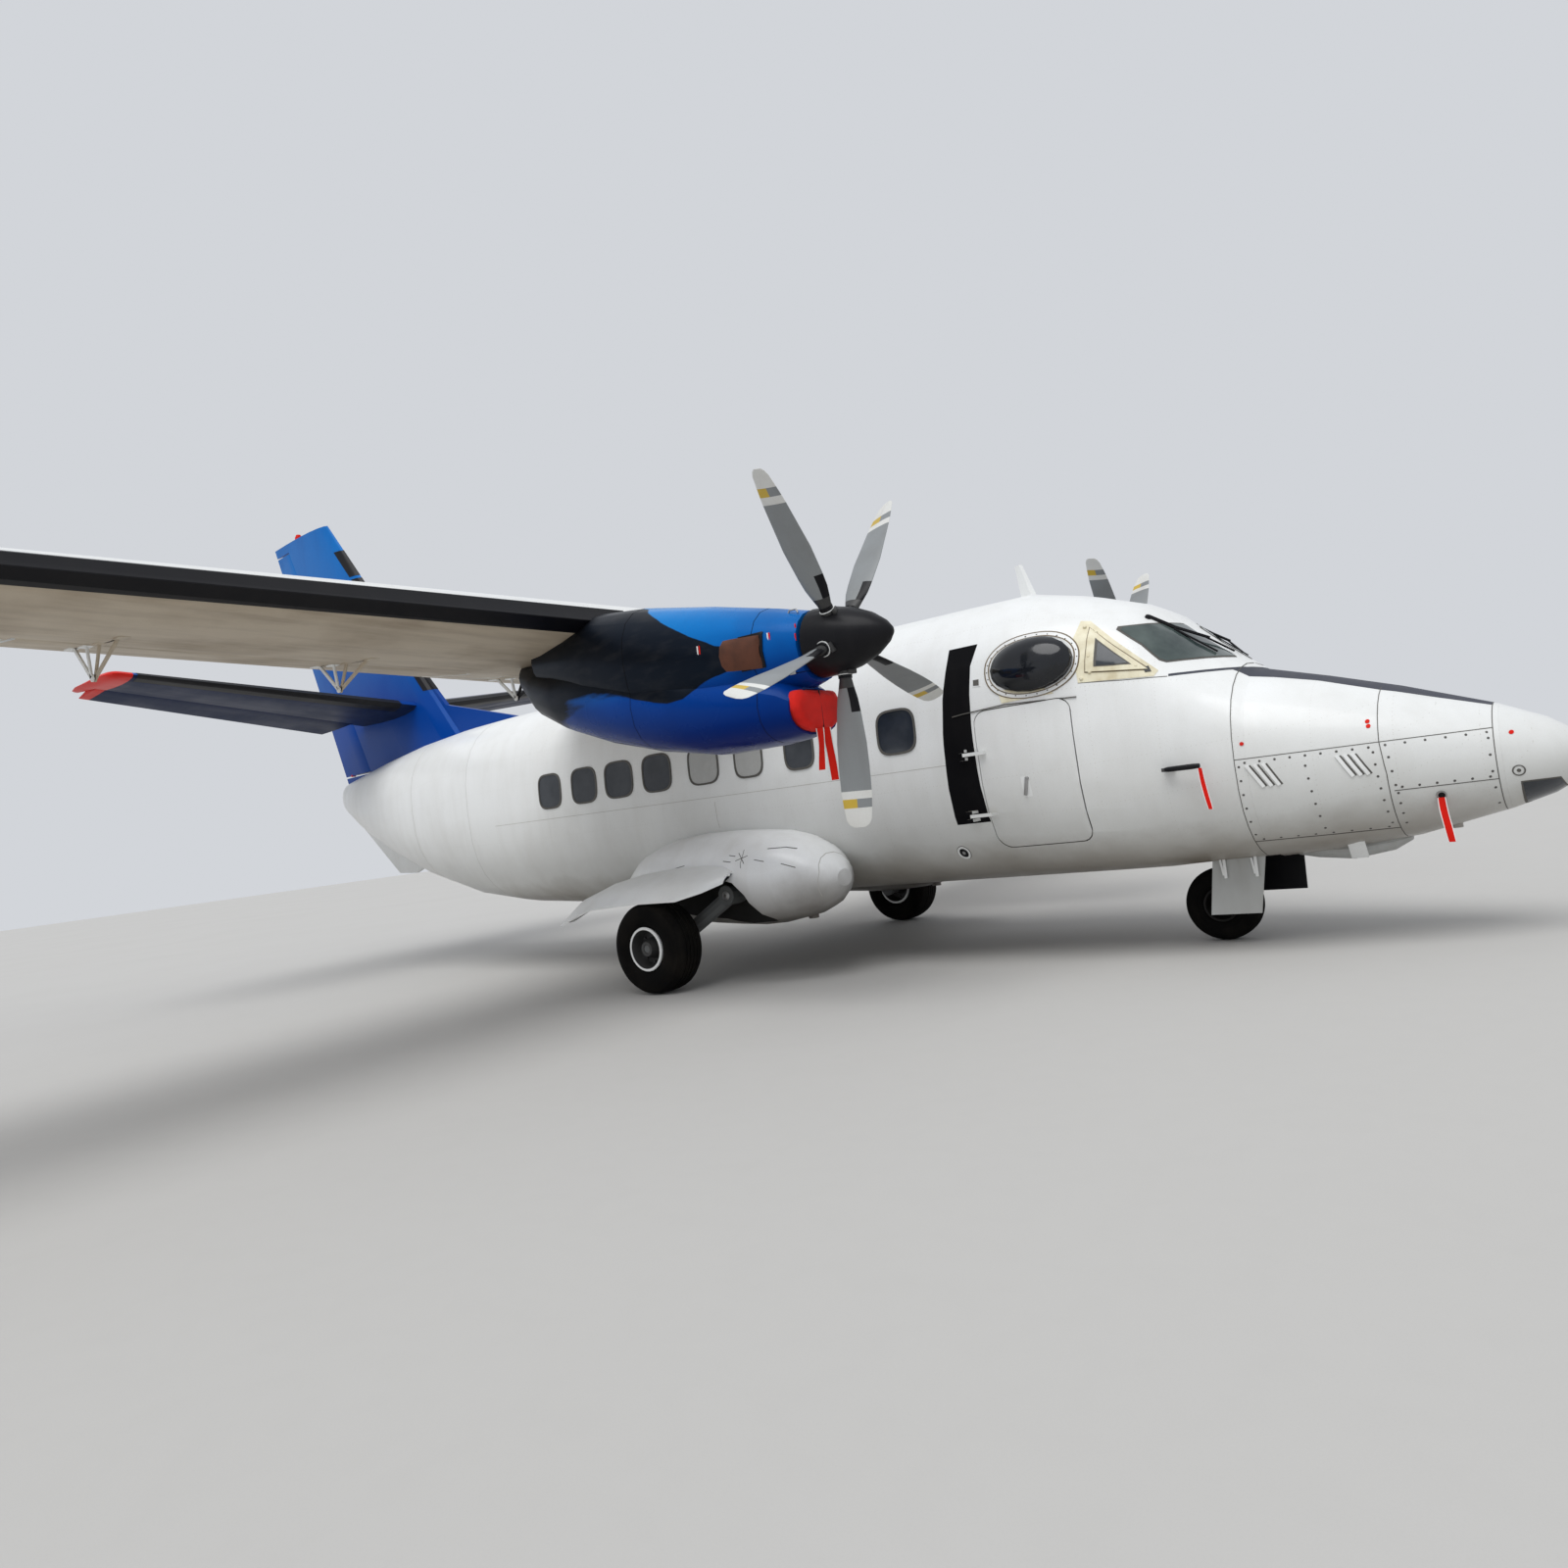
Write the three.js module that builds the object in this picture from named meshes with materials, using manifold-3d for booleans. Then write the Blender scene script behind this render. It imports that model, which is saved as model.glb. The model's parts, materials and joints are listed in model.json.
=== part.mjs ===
// Twin-engine, high-wing turboprop commuter airliner, parked on its landing gear.
// Millimetres. +X towards the nose, +Y to port, +Z up, the ground at z = 0.
// A station s is measured aft from the nose tip, so x = noseX - s.
import * as THREE from "three";
import { mergeVertices } from "three/addons/utils/BufferGeometryUtils.js";
import Module from "manifold-3d";

const wasm = await Module();
wasm.setup();

// Overall
const length = 14420;
const noseX = length / 2;
const seatGap = 0.3; // between pieces that touch
const moveGap = 6; // round pieces that move
const starboard = -1;
const port = 1;
const sides = [["right", starboard], ["left", port]];

// Fuselage
const fuselageEnd = 13200;
const coneJoint = 400; // aft edge of the nose cone
const noseJoint = 1690; // aft edge of the nose section
const tailJoint = 9360; // aft edge of the cabin
const skin = 70; // wall of the cabin and the tail cone, and thickness of the doors
const roomFore = 3650; // the passenger cabin inside
const roomFloorZ = 800;
const roomCeilingZ = 2420;
const hullRows = [
  // station, bottom, top, half width, squareness of the section
  [0, 955, 1105, 70, 2.0],
  [60, 890, 1185, 150, 2.0],
  [180, 820, 1275, 245, 2.05],
  [400, 748, 1385, 365, 2.1],
  [900, 630, 1580, 570, 2.2],
  [1300, 585, 1715, 700, 2.3],
  [1700, 562, 1838, 805, 2.35],
  [2000, 556, 2100, 870, 2.45],
  [2250, 554, 2343, 918, 2.7],
  [2400, 553, 2434, 945, 2.9],
  [2750, 553, 2562, 1000, 2.9],
  [3150, 553, 2665, 1035, 2.8],
  [3700, 553, 2674, 1040, 2.7],
  [6000, 560, 2680, 1040, 2.75],
  [8200, 590, 2700, 1040, 2.75],
  [9200, 650, 2700, 1010, 2.7],
  [10000, 760, 2690, 925, 2.6],
  [10900, 1000, 2640, 780, 2.5],
  [11800, 1330, 2550, 590, 2.4],
  [12600, 1690, 2450, 370, 2.3],
  [13100, 1950, 2390, 190, 2.2],
  [13200, 2040, 2360, 110, 2.0],
];
const hullSides = 32;
const lobeSides = 18; // round a nacelle lobe, a sponson or a fairing

// Wing, tail surfaces
const wingHalfSpan = 9740;
const wingRootLe = 5220;
const wingTipLe = 5970;
const wingRootChord = 2534;
const wingTipChord = 1267;
const wingRootZ = 2708;
const wingDihedral = 1.8; // degrees
const wingCentreHalf = 2250; // half span of the centre section
const finRootZ = 2150;
const finTopZ = 5830;
const finLeSlope = 0.77; // aft run for each unit of height
const finTeSlope = 0.345;
const finTopLe = 13020;
const rudderFraction = 0.76; // of the chord, where its hinge is
const rudderBottomZ = 2480;
const rudderTopZ = 5690;
const tailHalfSpan = 3350;
const tailRootLe = 11330;
const tailTipLe = 11680;
const tailRootChord = 1950;
const tailTipChord = 1150;
const tailRootZ = 3130;
const tailDihedral = 7;
const elevatorFraction = 0.62;
const elevatorInner = 285; // y of its inner end, clear of the rudder's swing
const elevatorOuter = 3230;
const elevatorDroop = 8; // degrees, where a parked elevator rests on its stop
const aileronFraction = 0.75;
const aileronInner = 5700;
const aileronOuter = 9480;
const flapFraction = 0.71;
const flapEndGap = 28; // at each end, because the swept pivots carry a flap sideways
const flapDrop = 280; // height of the flap pivots below the hinge fraction
const pinRadius = 9;
const boreRadius = 9.8;
const coveGap = 9; // round the nose of a moving surface

// Engines and propellers
const engineY = 2410;
const propStation = 3490;
const propZ = 2280;
const propRadius = 1150;
const thrustTilt = 2.3; // degrees, nose down
const bladeCount = 5;
const bladePhase = { right: -36.2, left: -35 }; // of the first blade from straight up
const spinnerRadius = 215;
const spinnerTip = 370; // ahead of the blades' plane
const spinnerBase = 160; // aft of it

// Landing gear
const mainStation = 5970;
const mainY = 1825;
const mainTyreRadius = 360;
const mainTyreWidth = 310;
const noseLegStation = 2085;
const noseWheelStation = 2170; // its fork trails aft of the leg
const noseTyreRadius = 255;
const noseTyreWidth = 215;
const axleRadius = 30;
const wheelSides = 24;

const paint = {
  white: { color: 0xe3e4e0, roughness: 0.35, metalness: 0 },
  grey: { color: 0x9a9c9d, roughness: 0.5, metalness: 0.1 },
  blue: { color: 0x1d4fa3, roughness: 0.35, metalness: 0 },
  red: { color: 0xb3202a, roughness: 0.6, metalness: 0 },
  black: { color: 0x17181a, roughness: 0.6, metalness: 0 },
  metal: { color: 0x8c8f92, roughness: 0.45, metalness: 0.8 },
  copper: { color: 0x8a5a3c, roughness: 0.5, metalness: 0.7 },
  rubber: { color: 0x1c1c1d, roughness: 0.85, metalness: 0 },
  glass: { color: 0x20262b, roughness: 0.1, metalness: 0 },
};

const model = new THREE.Group();

// A point from its station, y and z
function at(station, y, z) {
  return new THREE.Vector3(noseX - station, y, z);
}

function radians(degrees) {
  return (degrees * Math.PI) / 180;
}

// A solid for cutting and joining, from any closed three.js geometry
function solidOf(geometry) {
  const bare = geometry.clone();
  bare.deleteAttribute("normal");
  bare.deleteAttribute("uv");
  const merged = mergeVertices(bare, 1e-3);
  return new wasm.Manifold(new wasm.Mesh({
    numProp: 3,
    vertProperties: new Float32Array(merged.attributes.position.array),
    triVerts: new Uint32Array(merged.index.array),
  }));
}

function geometryOf(solid) {
  const mesh = solid.getMesh();
  const geometry = new THREE.BufferGeometry();
  geometry.setAttribute("position", new THREE.BufferAttribute(mesh.vertProperties, 3));
  geometry.setIndex(new THREE.BufferAttribute(mesh.triVerts, 1));
  geometry.computeVertexNormals();
  return geometry;
}

// A closed solid through rings of points, each ring with the same count
function loft(rings) {
  const count = rings[0].length;
  const positions = [];
  const index = [];
  for (const ring of rings) {
    for (const point of ring) positions.push(point.x, point.y, point.z);
  }
  for (let row = 0; row + 1 < rings.length; row += 1) {
    for (let i = 0; i < count; i += 1) {
      const a = row * count + i;
      const b = row * count + ((i + 1) % count);
      index.push(a, b, b + count, a, b + count, a + count);
    }
  }
  for (const [row, flip] of [[0, true], [rings.length - 1, false]]) {
    const centre = rings[row].reduce((sum, p) => sum.add(p), new THREE.Vector3());
    centre.divideScalar(count);
    const hub = positions.length / 3;
    positions.push(centre.x, centre.y, centre.z);
    for (let i = 0; i < count; i += 1) {
      const a = row * count + i;
      const b = row * count + ((i + 1) % count);
      index.push(...(flip ? [hub, b, a] : [hub, a, b]));
    }
  }
  const geometry = new THREE.BufferGeometry();
  geometry.setAttribute("position", new THREE.Float32BufferAttribute(positions, 3));
  geometry.setIndex(index);
  return solidOf(faceOut(geometry));
}

// The same geometry with its faces pointing out
function faceOut(geometry) {
  const p = geometry.attributes.position;
  const index = geometry.index.array;
  const [a, b, c] = [new THREE.Vector3(), new THREE.Vector3(), new THREE.Vector3()];
  let volume = 0;
  for (let i = 0; i < index.length; i += 3) {
    a.fromBufferAttribute(p, index[i]);
    b.fromBufferAttribute(p, index[i + 1]);
    c.fromBufferAttribute(p, index[i + 2]);
    volume += a.dot(b.cross(c));
  }
  if (volume < 0) {
    for (let i = 0; i < index.length; i += 3) {
      [index[i + 1], index[i + 2]] = [index[i + 2], index[i + 1]];
    }
  }
  return geometry;
}

// A box between two stations, two y values and two heights
function block(s0, s1, y0, y1, z0, z1) {
  const geometry = new THREE.BoxGeometry(Math.abs(s1 - s0), Math.abs(y1 - y0), Math.abs(z1 - z0));
  geometry.translate(noseX - (s0 + s1) / 2, (y0 + y1) / 2, (z0 + z1) / 2);
  return solidOf(geometry);
}

// A round bar between two points
function bar(from, to, radius, endRadius = radius, segments = 10) {
  const axis = to.clone().sub(from);
  const geometry = new THREE.CylinderGeometry(endRadius, radius, axis.length(), segments);
  const turn = new THREE.Quaternion();
  turn.setFromUnitVectors(new THREE.Vector3(0, 1, 0), axis.clone().normalize());
  geometry.applyQuaternion(turn);
  const middle = from.clone().add(to).divideScalar(2);
  geometry.translate(middle.x, middle.y, middle.z);
  return solidOf(geometry);
}

// A flat plate: an outline of [station, z] points, between two y values
function plate(outline, y0, y1) {
  const ring = (y) => outline.map(([s, z]) => at(s, y, z));
  return loft([ring(Math.min(y0, y1)), ring(Math.max(y0, y1))]);
}

// A body of revolution about a line through centre along direction; profile is [along, radius]
function turned(profile, centre, direction, segments = 32) {
  const points = profile.map(([along, radius]) => new THREE.Vector2(radius, along));
  const geometry = new THREE.LatheGeometry(points, segments);
  const turn = new THREE.Quaternion();
  turn.setFromUnitVectors(new THREE.Vector3(0, 1, 0), direction.clone().normalize());
  geometry.applyQuaternion(turn);
  geometry.translate(centre.x, centre.y, centre.z);
  const bare = geometry.clone();
  bare.deleteAttribute("normal");
  bare.deleteAttribute("uv");
  return solidOf(faceOut(dropSlivers(mergeVertices(bare, 1e-3))));
}

// The same geometry without the flat triangles that a pole leaves
function dropSlivers(geometry) {
  const index = geometry.index.array;
  const kept = [];
  for (let i = 0; i < index.length; i += 3) {
    const [a, b, c] = [index[i], index[i + 1], index[i + 2]];
    if (a !== b && b !== c && a !== c) kept.push(a, b, c);
  }
  geometry.setIndex(kept);
  return geometry;
}

function add(name, solid, look, hinge) {
  const mesh = new THREE.Mesh(geometryOf(solid), new THREE.MeshStandardMaterial(paint[look]));
  mesh.name = name;
  if (hinge) mesh.userData.hinge = hinge;
  model.add(mesh);
  return mesh;
}

// Where a hinge lies and which way it points, for whoever poses the model
function hingeOf(point, direction) {
  const axis = direction.clone().normalize();
  return { point: point.toArray(), axis: axis.toArray() };
}

function turnedBy(solid, { point, axis }, degrees) {
  const pivot = new THREE.Vector3(...point);
  const turn = new THREE.Matrix4().makeRotationAxis(new THREE.Vector3(...axis), radians(degrees));
  const back = new THREE.Matrix4().makeTranslation(-pivot.x, -pivot.y, -pivot.z);
  const matrix = new THREE.Matrix4().makeTranslation(pivot.x, pivot.y, pivot.z).multiply(turn).multiply(back);
  return solid.transform(matrix.elements);
}

// Fuselage sections

function hullRowAt(station) {
  let i = hullRows.findIndex((row) => row[0] >= station);
  if (i <= 0) i = i === 0 ? 1 : hullRows.length - 1;
  const t = (station - hullRows[i - 1][0]) / (hullRows[i][0] - hullRows[i - 1][0]);
  return hullRows[i].map((value, k) => hullRows[i - 1][k] + t * (value - hullRows[i - 1][k]));
}

function hullRing([station, bottom, top, half, power], grow, count = hullSides) {
  const middle = (bottom + top) / 2;
  const points = [];
  for (let i = 0; i < count; i += 1) {
    const angle = (i / count) * 2 * Math.PI;
    const cos = Math.cos(angle);
    const sin = Math.sin(angle);
    const y = (half + grow) * Math.sign(cos) * Math.abs(cos) ** (2 / power);
    const z = ((top - bottom) / 2 + grow) * Math.sign(sin) * Math.abs(sin) ** (2 / power);
    points.push(at(station, y, middle + z));
  }
  return points;
}

// The whole fuselage as one solid, grown or shrunk all round
function hull(grow = 0, from = 0, to = fuselageEnd, count = hullSides) {
  const inner = hullRows.filter((row) => row[0] > from + 1 && row[0] < to - 1);
  const rows = [hullRowAt(from), ...inner, hullRowAt(to)];
  return loft(rows.map((row) => hullRing(row, grow, count)));
}

// How far out the skin lies at a station and height
function skinY(station, z) {
  const [, bottom, top, half, power] = hullRowAt(station);
  const height = Math.abs((z - (bottom + top) / 2) / ((top - bottom) / 2));
  return half * (1 - Math.min(1, height) ** power) ** (1 / power);
}

// Lifting surfaces: root and tip sections, each with its leading edge, chord and depth

function section(surface, u) {
  const { root, tip } = surface;
  return {
    le: root.le.clone().lerp(tip.le, u),
    chord: root.chord + u * (tip.chord - root.chord),
    depth: root.depth + u * (tip.depth - root.depth),
  };
}

// Half thickness for a depth of 1, at x along the chord
function halfThickness(x) {
  const poly = -0.126 * x - 0.3516 * x ** 2 + 0.2843 * x ** 3 - 0.1015 * x ** 4;
  return 5 * (0.2969 * Math.sqrt(x) + poly);
}

function camberAt(surface, x) {
  const m = 0.2025;
  const k = 15.957 * surface.camber;
  return x < m ? (k / 6) * (x ** 3 - 3 * m * x ** 2 + m * m * (3 - m) * x)
    : ((k * m ** 3) / 6) * (1 - x);
}

// A point of a section: x along the chord, h in half thicknesses above its middle
function foilPoint(surface, u, x, h, grow = 0) {
  const { le, chord, depth } = section(surface, u);
  const rise = camberAt(surface, x) * chord + h * (halfThickness(x) * depth + 2 + grow);
  return le.clone()
    .add(new THREE.Vector3(-x * chord, 0, 0))
    .addScaledVector(surface.normal, rise);
}

const foilSteps = 9;

function foilRing(surface, u, grow = 0) {
  const points = [];
  for (let i = 0; i <= foilSteps; i += 1) {
    const x = (1 - Math.cos((i / foilSteps) * Math.PI)) / 2;
    points.push(foilPoint(surface, u, x, 1, grow));
  }
  for (let i = foilSteps; i >= 0; i -= 1) {
    const x = (1 - Math.cos((i / foilSteps) * Math.PI)) / 2;
    points.push(foilPoint(surface, u, x, -1, grow));
  }
  points[0].x += grow;
  points[foilSteps].x -= grow;
  points[foilSteps + 1].x -= grow;
  points[points.length - 1].x += grow;
  return points;
}

// A section rounded off past the end of the surface: k from 1 at the rib to 0 at the edge
function tipRing(surface, u, run, k) {
  const ring = foilRing(surface, u);
  const out = surface.tip.le.clone().sub(surface.root.le).normalize();
  const middle = foilPoint(surface, u, 0.45, 0);
  const bow = Math.sqrt(1 - (1 - k) ** 2);
  return ring.map((point) => {
    const flat = point.clone().sub(middle);
    const rise = flat.dot(surface.normal);
    flat.addScaledVector(surface.normal, -rise);
    return middle.clone()
      .addScaledVector(flat, 0.62 + 0.38 * bow)
      .addScaledVector(surface.normal, rise * Math.max(bow, 0.12))
      .addScaledVector(out, run * (1 - k));
  });
}

// Radius and centre of the round nose of a moving surface
function hingeSection(surface, u, fraction) {
  const centre = foilPoint(surface, u, fraction, 0);
  const top = foilPoint(surface, u, fraction, 1);
  return { centre, radius: top.distanceTo(centre) - 1 };
}

const noseArc = 6;

function arcPoints(surface, centre, radius) {
  const points = [];
  for (let i = 0; i <= noseArc; i += 1) {
    const angle = Math.PI / 2 + (i / noseArc) * Math.PI;
    points.push(centre.clone()
      .add(new THREE.Vector3(-Math.cos(angle) * radius, 0, 0))
      .addScaledVector(surface.normal, Math.sin(angle) * radius));
  }
  return points;
}

function movingRing(surface, u, fraction) {
  const { centre, radius } = hingeSection(surface, u, fraction);
  const points = arcPoints(surface, centre, radius);
  for (const x of [0.35, 0.7, 1]) {
    points.push(foilPoint(surface, u, fraction + x * (1 - fraction), -1));
  }
  for (const x of [1, 0.7, 0.35]) {
    points.push(foilPoint(surface, u, fraction + x * (1 - fraction), 1));
  }
  return points;
}

function coveRing(surface, u, fraction) {
  const { centre, radius } = hingeSection(surface, u, fraction);
  const { chord } = section(surface, u);
  const reach = (radius + coveGap) / Math.cos(Math.PI / (2 * noseArc));
  const points = arcPoints(surface, centre, reach);
  for (const h of [-1, 1]) {
    points.push(centre.clone()
      .add(new THREE.Vector3(-chord * (1 - fraction) - 60, 0, 0))
      .addScaledVector(surface.normal, h * (radius + 60)));
  }
  return points;
}

// A moving surface between two span fractions, the cove it turns in, and its end pins
function hingedSurface(surface, uFrom, uTo, fraction, endGap = moveGap) {
  const span = surface.tip.le.distanceTo(surface.root.le);
  const step = endGap / span;
  const moving = loft([uFrom, uTo].map((u) => movingRing(surface, u, fraction)));
  const cove = loft([uFrom - step, uTo + step].map((u) => coveRing(surface, u, fraction)));
  const from = hingeSection(surface, uFrom, fraction).centre;
  const to = hingeSection(surface, uTo, fraction).centre;
  const along = to.clone().sub(from).normalize();
  const reach = (point, distance) => point.clone().addScaledVector(along, distance);
  const pins = bar(reach(from, -40), reach(from, 30), pinRadius)
    .add(bar(reach(to, -30), reach(to, 40), pinRadius));
  const bores = bar(reach(from, -10), reach(from, 36), boreRadius)
    .add(bar(reach(to, -36), reach(to, 10), boreRadius));
  return { moving: moving.subtract(bores), cove, pins, hinge: hingeOf(from, along), from, to };
}

function wingSurface(side) {
  const rise = Math.tan(radians(wingDihedral)) * wingHalfSpan;
  return {
    root: { le: at(wingRootLe, 0, wingRootZ), chord: wingRootChord, depth: 456 },
    tip: { le: at(wingTipLe, side * wingHalfSpan, wingRootZ + rise), chord: wingTipChord, depth: 152 },
    normal: new THREE.Vector3(0, 0, 1),
    camber: 1,
  };
}

function tailSurface(side) {
  const rise = Math.tan(radians(tailDihedral)) * tailHalfSpan;
  return {
    root: { le: at(tailRootLe, 0, tailRootZ), chord: tailRootChord, depth: 200 },
    tip: { le: at(tailTipLe, side * tailHalfSpan, tailRootZ + rise), chord: tailTipChord, depth: 95 },
    normal: new THREE.Vector3(0, 0, 1),
    camber: 0,
  };
}

function finSurface() {
  const leAt = (z) => finTopLe - (finTopZ - z) * finLeSlope;
  const teAt = (z) => length - (finTopZ - z) * finTeSlope;
  const sectionAt = (z, depth) => ({ le: at(leAt(z), 0, z), chord: teAt(z) - leAt(z), depth });
  return {
    root: sectionAt(finRootZ, 290),
    tip: sectionAt(finTopZ, 125),
    normal: new THREE.Vector3(0, 1, 0),
    camber: 0,
  };
}

// Wings, with their flaps and ailerons

function spanFraction(y) {
  return y / wingHalfSpan;
}

const tipShare = 0.02; // of the half span, rounded off past the last rib

function wingPanel(side, grow = 0) {
  const surface = wingSurface(side);
  return loft([spanFraction(wingCentreHalf + seatGap), 1 - tipShare]
    .map((u) => foilRing(surface, u, grow)));
}

function wingCentrePanel(grow = 0) {
  const outer = spanFraction(wingCentreHalf);
  return loft([
    foilRing(wingSurface(starboard), outer, grow),
    foilRing(wingSurface(port), 0, grow),
    foilRing(wingSurface(port), outer, grow),
  ]);
}

function wingEnvelope() {
  return wingCentrePanel(seatGap).add(wingPanel(starboard, seatGap)).add(wingPanel(port, seatGap));
}

function addWing([name, side]) {
  const surface = wingSurface(side);
  let wing = wingPanel(side).add(loft([foilRing(surface, 1 - tipShare),
    ...[0.7, 0.3, 0].map((k) => tipRing(surface, 1 - tipShare, tipShare * wingHalfSpan, k))]));
  const aileron = hingedSurface(surface, spanFraction(aileronInner), spanFraction(aileronOuter),
    aileronFraction, 14);
  wing = wing.subtract(aileron.cove).add(aileron.pins);
  const flap = addFlap(`flap_outer_${name}`, surface, 2570, 5640, [3656, 5244]);
  wing = wing.subtract(flap.cove).add(flap.brackets);
  add(`wing_${name}`, wing, "white");
  add(`aileron_${name}`, aileron.moving, "white", aileron.hinge);
}

// A flap turns about pins below the wing, held by brackets from the wing
function addFlap(name, surface, yFrom, yTo, bracketYs) {
  const [uFrom, uTo] = [spanFraction(yFrom), spanFraction(yTo)];
  const { cove, from, to } = hingedSurface(surface, uFrom, uTo, flapFraction, flapEndGap);
  const drop = new THREE.Vector3(-30, 0, -flapDrop);
  const pivotFrom = from.clone().add(drop);
  const pivotTo = to.clone().add(drop);
  const along = pivotTo.clone().sub(pivotFrom).normalize();
  let flap = loft([uFrom, uTo].map((u) => movingRing(surface, u, flapFraction)));
  let brackets = null;
  for (const y of bracketYs) {
    const share = (y - yFrom) / (yTo - yFrom);
    const pivot = pivotFrom.clone().lerp(pivotTo, share);
    const u = uFrom + share * (uTo - uFrom);
    const bracket = flapBracket(surface, u, pivot, along);
    brackets = brackets ? brackets.add(bracket.fixed) : bracket.fixed;
    flap = flap.add(bracket.arm);
  }
  add(name, flap, "white", hingeOf(pivotFrom, along));
  return { cove, brackets };
}

const bracketThick = 12;

function flapBracket(surface, u, pivot, along) {
  const side = Math.sign(along.y);
  const strip = (points, offset) => {
    const y0 = pivot.y + side * offset;
    const ring = (y) => points.map((p) => new THREE.Vector3(p.x, y, p.z));
    return loft([ring(y0), ring(y0 + side * bracketThick)]);
  };
  const root = (x, h) => foilPoint(surface, u, x, h);
  const eye = (dx, dz) => pivot.clone().add(new THREE.Vector3(dx, 0, dz));
  const fixed = strip([
    root(0.5, -0.5), eye(22, -22), eye(-22, -22), eye(-22, 12), root(flapFraction - 0.05, -0.6),
  ], -bracketThick - 4)
    .add(bar(pivot.clone().addScaledVector(along, -bracketThick),
      pivot.clone().addScaledVector(along, bracketThick + 10), pinRadius));
  const arm = strip([
    root(flapFraction + 0.01, -0.4), eye(22, 18), eye(22, -20), eye(-22, -20),
    root(flapFraction + 0.14, -0.5),
  ], 4)
    .subtract(bar(pivot.clone().addScaledVector(along, -40), pivot.clone().addScaledVector(along, 40),
      boreRadius));
  return { fixed, arm };
}

function addWingCentre() {
  let centre = wingCentrePanel();
  for (const [name, side] of sides) {
    const flap = addFlap(`flap_inner_${name}`, wingSurface(side), 1120, 2200, [1280, 2070]);
    centre = centre.subtract(flap.cove).add(flap.brackets);
  }
  add("wing_centre", centre, "white");
}

// Tail

function finBody(grow = 0) {
  const surface = finSurface();
  return loft([0, 0.5, 1].map((u) => foilRing(surface, u, grow)));
}

function addTail() {
  const surface = finSurface();
  const share = (z) => (z - finRootZ) / (finTopZ - finRootZ);
  const rudder = hingedSurface(surface, share(rudderBottomZ), share(rudderTopZ), rudderFraction, 28);
  const dorsal = plate([[9600, 2600], [9600, 2745], [10870, 3075], [11400, 3700], [11400, 2400]], -28, 28);
  const fin = finBody().subtract(rudder.cove).add(rudder.pins).add(dorsal).subtract(hull(seatGap));
  add("fin", fin, "blue");
  add("rudder", rudder.moving, "blue", rudder.hinge);
  for (const [name, side] of sides) addTailplane(name, side);
}

function addTailplane(name, side) {
  const surface = tailSurface(side);
  const share = (y) => y / tailHalfSpan;
  const elevator = hingedSurface(surface, share(elevatorInner), share(elevatorOuter), elevatorFraction, 14);
  const hingeRoot = foilPoint(surface, 0, elevatorFraction, 0);
  const gapFrom = noseX - hingeRoot.x + 45;
  const rudderBay = block(gapFrom, 13800, -side * 20, side * (elevatorInner - 5), 2900, 3500);
  const tailplane = loft([foilRing(surface, 0.001), foilRing(surface, 0.97),
    ...[0.75, 0.4, 0].map((k) => tipRing(surface, 0.97, 0.03 * tailHalfSpan, k))])
    .subtract(elevator.cove)
    .add(elevator.pins)
    .subtract(rudderBay)
    .subtract(finBody(seatGap));
  add(`tailplane_${name}`, largest(tailplane), "blue");
  const drooped = turnedBy(elevator.moving, elevator.hinge, -side * elevatorDroop);
  add(`elevator_${name}`, drooped, "blue", elevator.hinge);
}

// The largest of a solid's separate pieces
function largest(solid) {
  return solid.decompose().reduce((best, piece) => (piece.volume() > best.volume() ? piece : best));
}

// Fuselage, with its doors

// An upright rounded opening in the side, from inside to well outside the skin
function doorway({ s0, s1, z0, z1, side, corner, yaw = 0 }, grow) {
  const shape = new THREE.Shape();
  const [w, h, r] = [s1 - s0 + 2 * grow, z1 - z0 + 2 * grow, corner + 0.3 * grow];
  shape.absarc(w / 2 - r, h / 2 - r, r, 0, Math.PI / 2);
  shape.absarc(-w / 2 + r, h / 2 - r, r, Math.PI / 2, Math.PI);
  shape.absarc(-w / 2 + r, -h / 2 + r, r, Math.PI, 1.5 * Math.PI);
  shape.absarc(w / 2 - r, -h / 2 + r, r, 1.5 * Math.PI, 2 * Math.PI);
  const depth = 900;
  const geometry = new THREE.ExtrudeGeometry(shape, { depth, bevelEnabled: false, curveSegments: 3 });
  const middle = (s0 + s1) / 2;
  geometry.translate(0, 0, -depth / 2);
  geometry.rotateX(Math.PI / 2);
  geometry.rotateZ(yaw);
  geometry.translate(noseX - middle, side * (skinY(middle, (z0 + z1) / 2) - 150), (z0 + z1) / 2);
  return solidOf(geometry);
}

const hingeProud = 26; // of a door's hinge line, out from the skin

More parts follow.
